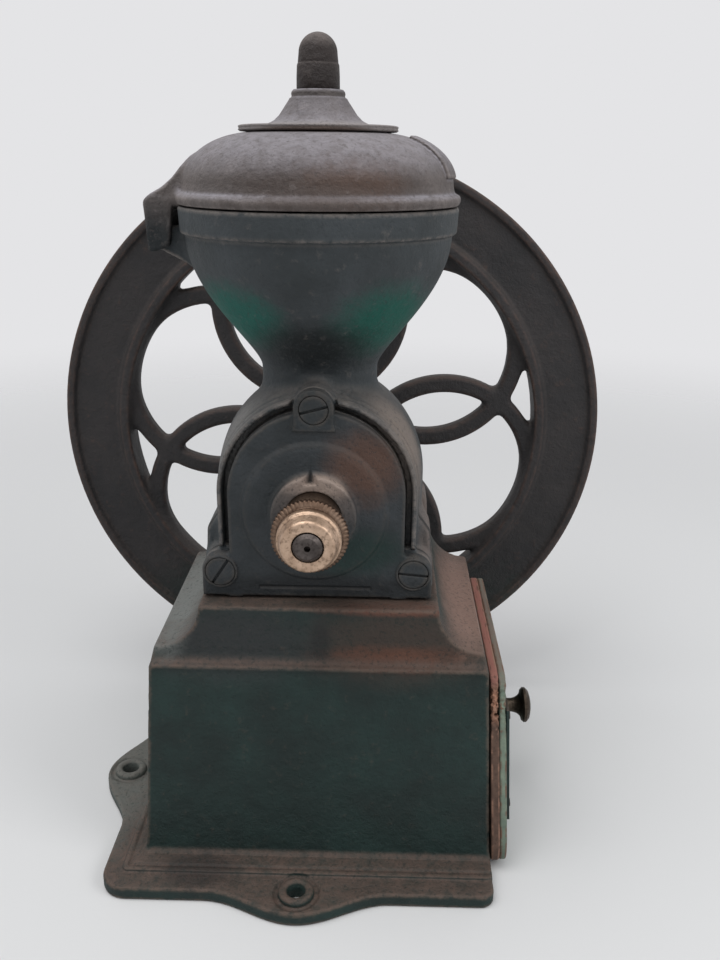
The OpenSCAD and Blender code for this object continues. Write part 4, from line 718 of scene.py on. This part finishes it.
FINISH = {
    "base_iron": base_iron, "housing_iron": housing_iron, "lid_iron": lid_iron, "wheel_iron": wheel_iron,
    "steel": aged_steel, "brass": worn_brass, "wood": inner_wood, "painted_wood": faded_wood,
}


def dress(piece, material):
    """Gives every face of a piece one material."""
    piece.data.materials.clear()
    piece.data.materials.append(material)


for part in frame["record"]["subparts"]:
    dress(nodes[part["node"]], FINISH[part["material_slot"]])
# The hinge pin takes the lid's material, so the painted shade on the hinge cheeks darkens it too.
dress(nodes["hinge_pin"], lid_iron)
dress(nodes["drawer_pull"], dark_bronze)


# Pieces

BOARD_T = 3.9
SIDE_TILT = math.atan(3.9 / 89.7)
FRONT_AT = np.array([BASE_X + 80.2 + 0.7, 0.0, FOOT_TOP])


def leaned(points):
    """Places in the drawer front's own frame, out from the box, along it and up it, in the part's frame."""
    out, along, up = points.T
    up = up - FOOT_TOP
    tilt = math.cos(SIDE_TILT), math.sin(SIDE_TILT)
    return np.stack([out * tilt[0] - up * tilt[1], along, out * tilt[1] + up * tilt[0]], 1) + FRONT_AT


def half_depth(z):
    """Half the box's depth at a height."""
    return 69.5 - 13.3 * (z - FOOT_TOP) / 89.7


board_plan = outline(
    arc(8 - half_depth(95), 89, 8, 6, 180, 90, 8), arc(half_depth(95) - 12, 83, 12, 12, 90, 0, 10),
    arc(half_depth(2) - 8, 16, 8, 14, 0, -90, 8), arc(8 - half_depth(2), 16, 8, 14, -90, -180, 8), soft=0.8)


def crumble(x, y, z):
    """How much wood is lost, most at the near upper corner, in lumps a few millimetres across."""
    lumps = np.sin(x * 1.9 + 1) * np.sin(y * 1.3) * np.sin(z * 1.1 + 2) + 0.5 * np.sin(y * 2.9 + x) * np.sin(z * 2.3)
    near = np.exp(-(((y + 60) / 6) ** 2 + ((z - 86) / 11) ** 2))
    return near * (1.5 + 1.2 * lumps)


def board(x, y, z):
    """The drawer's inner board, crumbling at its near upper corner, with an open nail hole on its near edge."""
    body = corner(board_plan(y, z), span(x, 0, BOARD_T), 0.7) + crumble(x, y, z)
    return round_cut(body, np.maximum(np.hypot(x - 2.4, z - 77.5) - 0.9, y + 54), 0.3)


def facing(x, y, z):
    """The thin painted outer board."""
    return corner(board_plan(y, z) + 0.3, span(x, BOARD_T + 0.02, 7.12), 0.8) + 0.5 * crumble(x, y, z)


stands_for(skin("base_foot", foot, (-113, -105, 0), (82.2, 105, 19.7), 1.0),
           "stand", "base_iron", base_iron, "base_casting")
stands_for(skin("base_box", box, (-84, -73, 3.5), (82.2, 73, 127), 1.3),
           "stand", "base_iron", base_iron, "base_casting")
stands_for(skin("hopper_casting", housing, (-74.5, -60.2, 127), (60.2, 60.2, 294), 1.21),
           "stand", "housing_iron", housing_iron, "hopper_housing")
stands_for(skin("cover_plate", front_plate, (-50.5, -50, 127.8), (52, -31, 223.1), 0.65),
           "stand", "housing_iron", plate_iron, "front_plate")
stands_for(skin("cheese_head_screws", screw_heads, (-49, -44.4, 133), (50.5, -25, 221), 0.45),
           "stand", "steel", plate_iron, "plate_screws")
stands_for(skin("knurled_nut", nut, (-16.2, -80.8, 152.3), (16.2, -44.2, 184.7), 0.42),
           "nut", "brass", worn_brass, "adjusting_nut")
stands_for(skin("wheel_casting", wheel, (-150, 78, 18.5), (150, 108, 318.5), 1.35),
           "rotor", "wheel_iron", wheel_iron, "flywheel")
stands_for(skin("lid_casting", lid, (-74, -60.8, 274), (60.8, 60.8, 323.4), 0.8),
           "cover", "lid_iron", lid_iron, "lid")
stands_for(skin("drawer_board", board, (0, -71, 2), (BOARD_T, 71, 95), 0.7, leaned, 0.8),
           "drawer", "wood", inner_wood, "drawer_front")
stands_for(skin("drawer_skin", facing, (BOARD_T, -71, 2), (7.2, 71, 95), 0.7, leaned, 0.8),
           "drawer", "painted_wood", faded_wood, "drawer_facing")

DISC_Z, PEDESTAL_Z, KNOB_Z, TOP_Z = 323.42, 326.02, 339.82, 361.62
stands_for(turned("knob_foot", [
    [0, DISC_Z], [30.5, DISC_Z], [33, DISC_Z + 0.2], [33.7, DISC_Z + 0.7], [33.4, DISC_Z + 1.1],
    [33.4, DISC_Z + 1.6], [33.7, DISC_Z + 2], [33.4, PEDESTAL_Z - 0.2], [32.6, PEDESTAL_Z], [27, PEDESTAL_Z + 0.1],
    [21.5, PEDESTAL_Z + 0.5], [18.6, PEDESTAL_Z + 1.9], [16.4, PEDESTAL_Z + 4], [14.8, PEDESTAL_Z + 6.3],
    [13.2, PEDESTAL_Z + 8.6], [12.3, KNOB_Z - 3.9], [12.1, KNOB_Z - 3.4], [11.4, KNOB_Z - 3], [11.1, KNOB_Z - 2.6],
    [11.3, KNOB_Z - 1.6], [11.1, KNOB_Z - 0.8], [10.4, KNOB_Z], [0, KNOB_Z]],
    (0, 0, 0), "z", 128), "cover", "lid_iron", lid_iron, "lid_pedestal")
stands_for(turned("knob_cast", np.concatenate([
    [[0, KNOB_Z + 0.02], [8.6, KNOB_Z + 0.02], [9, KNOB_Z + 0.5], [8.95, KNOB_Z + 5], [8.75, KNOB_Z + 9.2],
     [8.5, KNOB_Z + 9.9], [8.3, KNOB_Z + 10.2], [8.35, KNOB_Z + 10.6], [8.1, TOP_Z - 9]],
    arc(0, TOP_Z - 8, 8, 8, 6, 90, 12)]), (0, 0, 0), "z", 96), "cover", "lid_iron", knob_iron, "lid_knob")
stands_for(turned("handle_wood", [
    [4.05, 103.1], [9.5, 103.1], [10.5, 105.1], [10.5, 109.1]] + [
    [9 + 6 * math.sin(math.pi * t ** 1.3) ** 0.8, 111.1 + 76 * t] for t in np.linspace(0.03, 0.97, 25)] + [
    [10.2, 190], [9.6, 193], [8, 195.1], [4.05, 195.1]],
    (0, 0, HANDLE_Z), "y", 64, wrap=True), "grip", "wood", grip_wood, "handle_grip")


# Camera

CAMERA_AT = (27.65, -405.0, 314.0)
CAMERA_YAW, CAMERA_PITCH, CAMERA_ROLL = 0.022, 0.345, 0.009
LENS_MM = 33.75


def make_camera():
    """The photograph's view: a lens that looks along +Y, turned by yaw, tipped down by pitch and rolled a little."""
    yaw, pitch, roll = CAMERA_YAW, CAMERA_PITCH, CAMERA_ROLL
    ahead = Vector((-math.sin(yaw) * math.cos(pitch), math.cos(yaw) * math.cos(pitch), -math.sin(pitch)))
    level = Vector((math.cos(yaw), math.sin(yaw), 0))
    up = level.cross(ahead)
    right = math.cos(roll) * level + math.sin(roll) * up
    top = math.cos(roll) * up - math.sin(roll) * level
    data = bpy.data.cameras.new("camera")
    data.lens = LENS_MM
    data.clip_start, data.clip_end = 0.01, 50
    camera = bpy.data.objects.new("camera", data)
    turn = Matrix((right, top, -ahead)).transposed().to_4x4()
    camera.matrix_world = Matrix.Translation(Vector(CAMERA_AT) * MM) @ turn
    bpy.context.scene.collection.objects.link(camera)
    bpy.context.scene.camera = camera


# Floor, backdrop and lamps

def make_floor():
    """A pale, matt disc that fades into the backdrop."""
    bpy.ops.mesh.primitive_circle_add(vertices=96, radius=1.6, fill_type="NGON", location=(0, 0, 0))
    floor = bpy.context.object
    floor.name = "floor"
    # Studio paper: matt and even, so that it only takes the soft shadow
    material, tree, bsdf, place = shader("pale_paper", Roughness=0.9)
    bsdf.inputs["Base Color"].default_value = rgb("#dcdcdc")
    away = add(tree, VECTOR, {"operation": "LENGTH"}, out=1, n0=place.outputs["Object"])
    fade = add(tree, RANGE, SMOOTH, Value=away, From_Min=0.35, From_Max=1.3)
    clear = add(tree, "ShaderNodeBsdfTransparent")
    mix = add(tree, "ShaderNodeMixShader", Fac=fade, n1=bsdf.outputs[0], n2=clear)
    tree.links.new(mix, tree.nodes["Material Output"].inputs["Surface"])
    dress(floor, material)


def make_world():
    """A pale backdrop where the camera sees it, also in and through a shiny piece, and a soft even light elsewhere."""
    world = bpy.data.worlds.new("studio")
    bpy.context.scene.world = world
    world.use_nodes = True
    tree = world.node_tree
    sight = tree.nodes.new("ShaderNodeLightPath")
    seen = add(tree, "ShaderNodeBackground", Color=rgb("#e4e4e6"), Strength=1.0)
    lit = add(tree, "ShaderNodeBackground", Color=rgb("#f2f4f7"), Strength=0.55)
    straight = add(tree, MATH, PLUS, n0=sight.outputs["Is Camera Ray"], n1=sight.outputs["Is Transmission Ray"])
    straight = add(tree, MATH, PLUS, n0=straight, n1=sight.outputs["Is Glossy Ray"])
    mix = add(tree, "ShaderNodeMixShader", Fac=straight, n1=lit, n2=seen)
    tree.links.new(mix, tree.nodes["World Output"].inputs["Surface"])


def make_lamp(name, at, size, power):
    """A square soft lamp that faces the middle of the grinder."""
    data = bpy.data.lights.new(name, "AREA")
    data.size, data.energy = size, power
    lamp = bpy.data.objects.new(name, data)
    lamp.location = at
    lamp.rotation_euler = (Vector((0, 0, 0.18)) - Vector(at)).to_track_quat("-Z", "Y").to_euler()
    bpy.context.scene.collection.objects.link(lamp)


make_camera()
make_floor()
make_world()
make_lamp("top_lamp", (-0.3, -0.2, 1.3), 0.9, 9)
make_lamp("side_lamp", (1.0, -0.5, 0.9), 0.7, 5)
bpy.context.scene.view_settings.view_transform = "Standard"
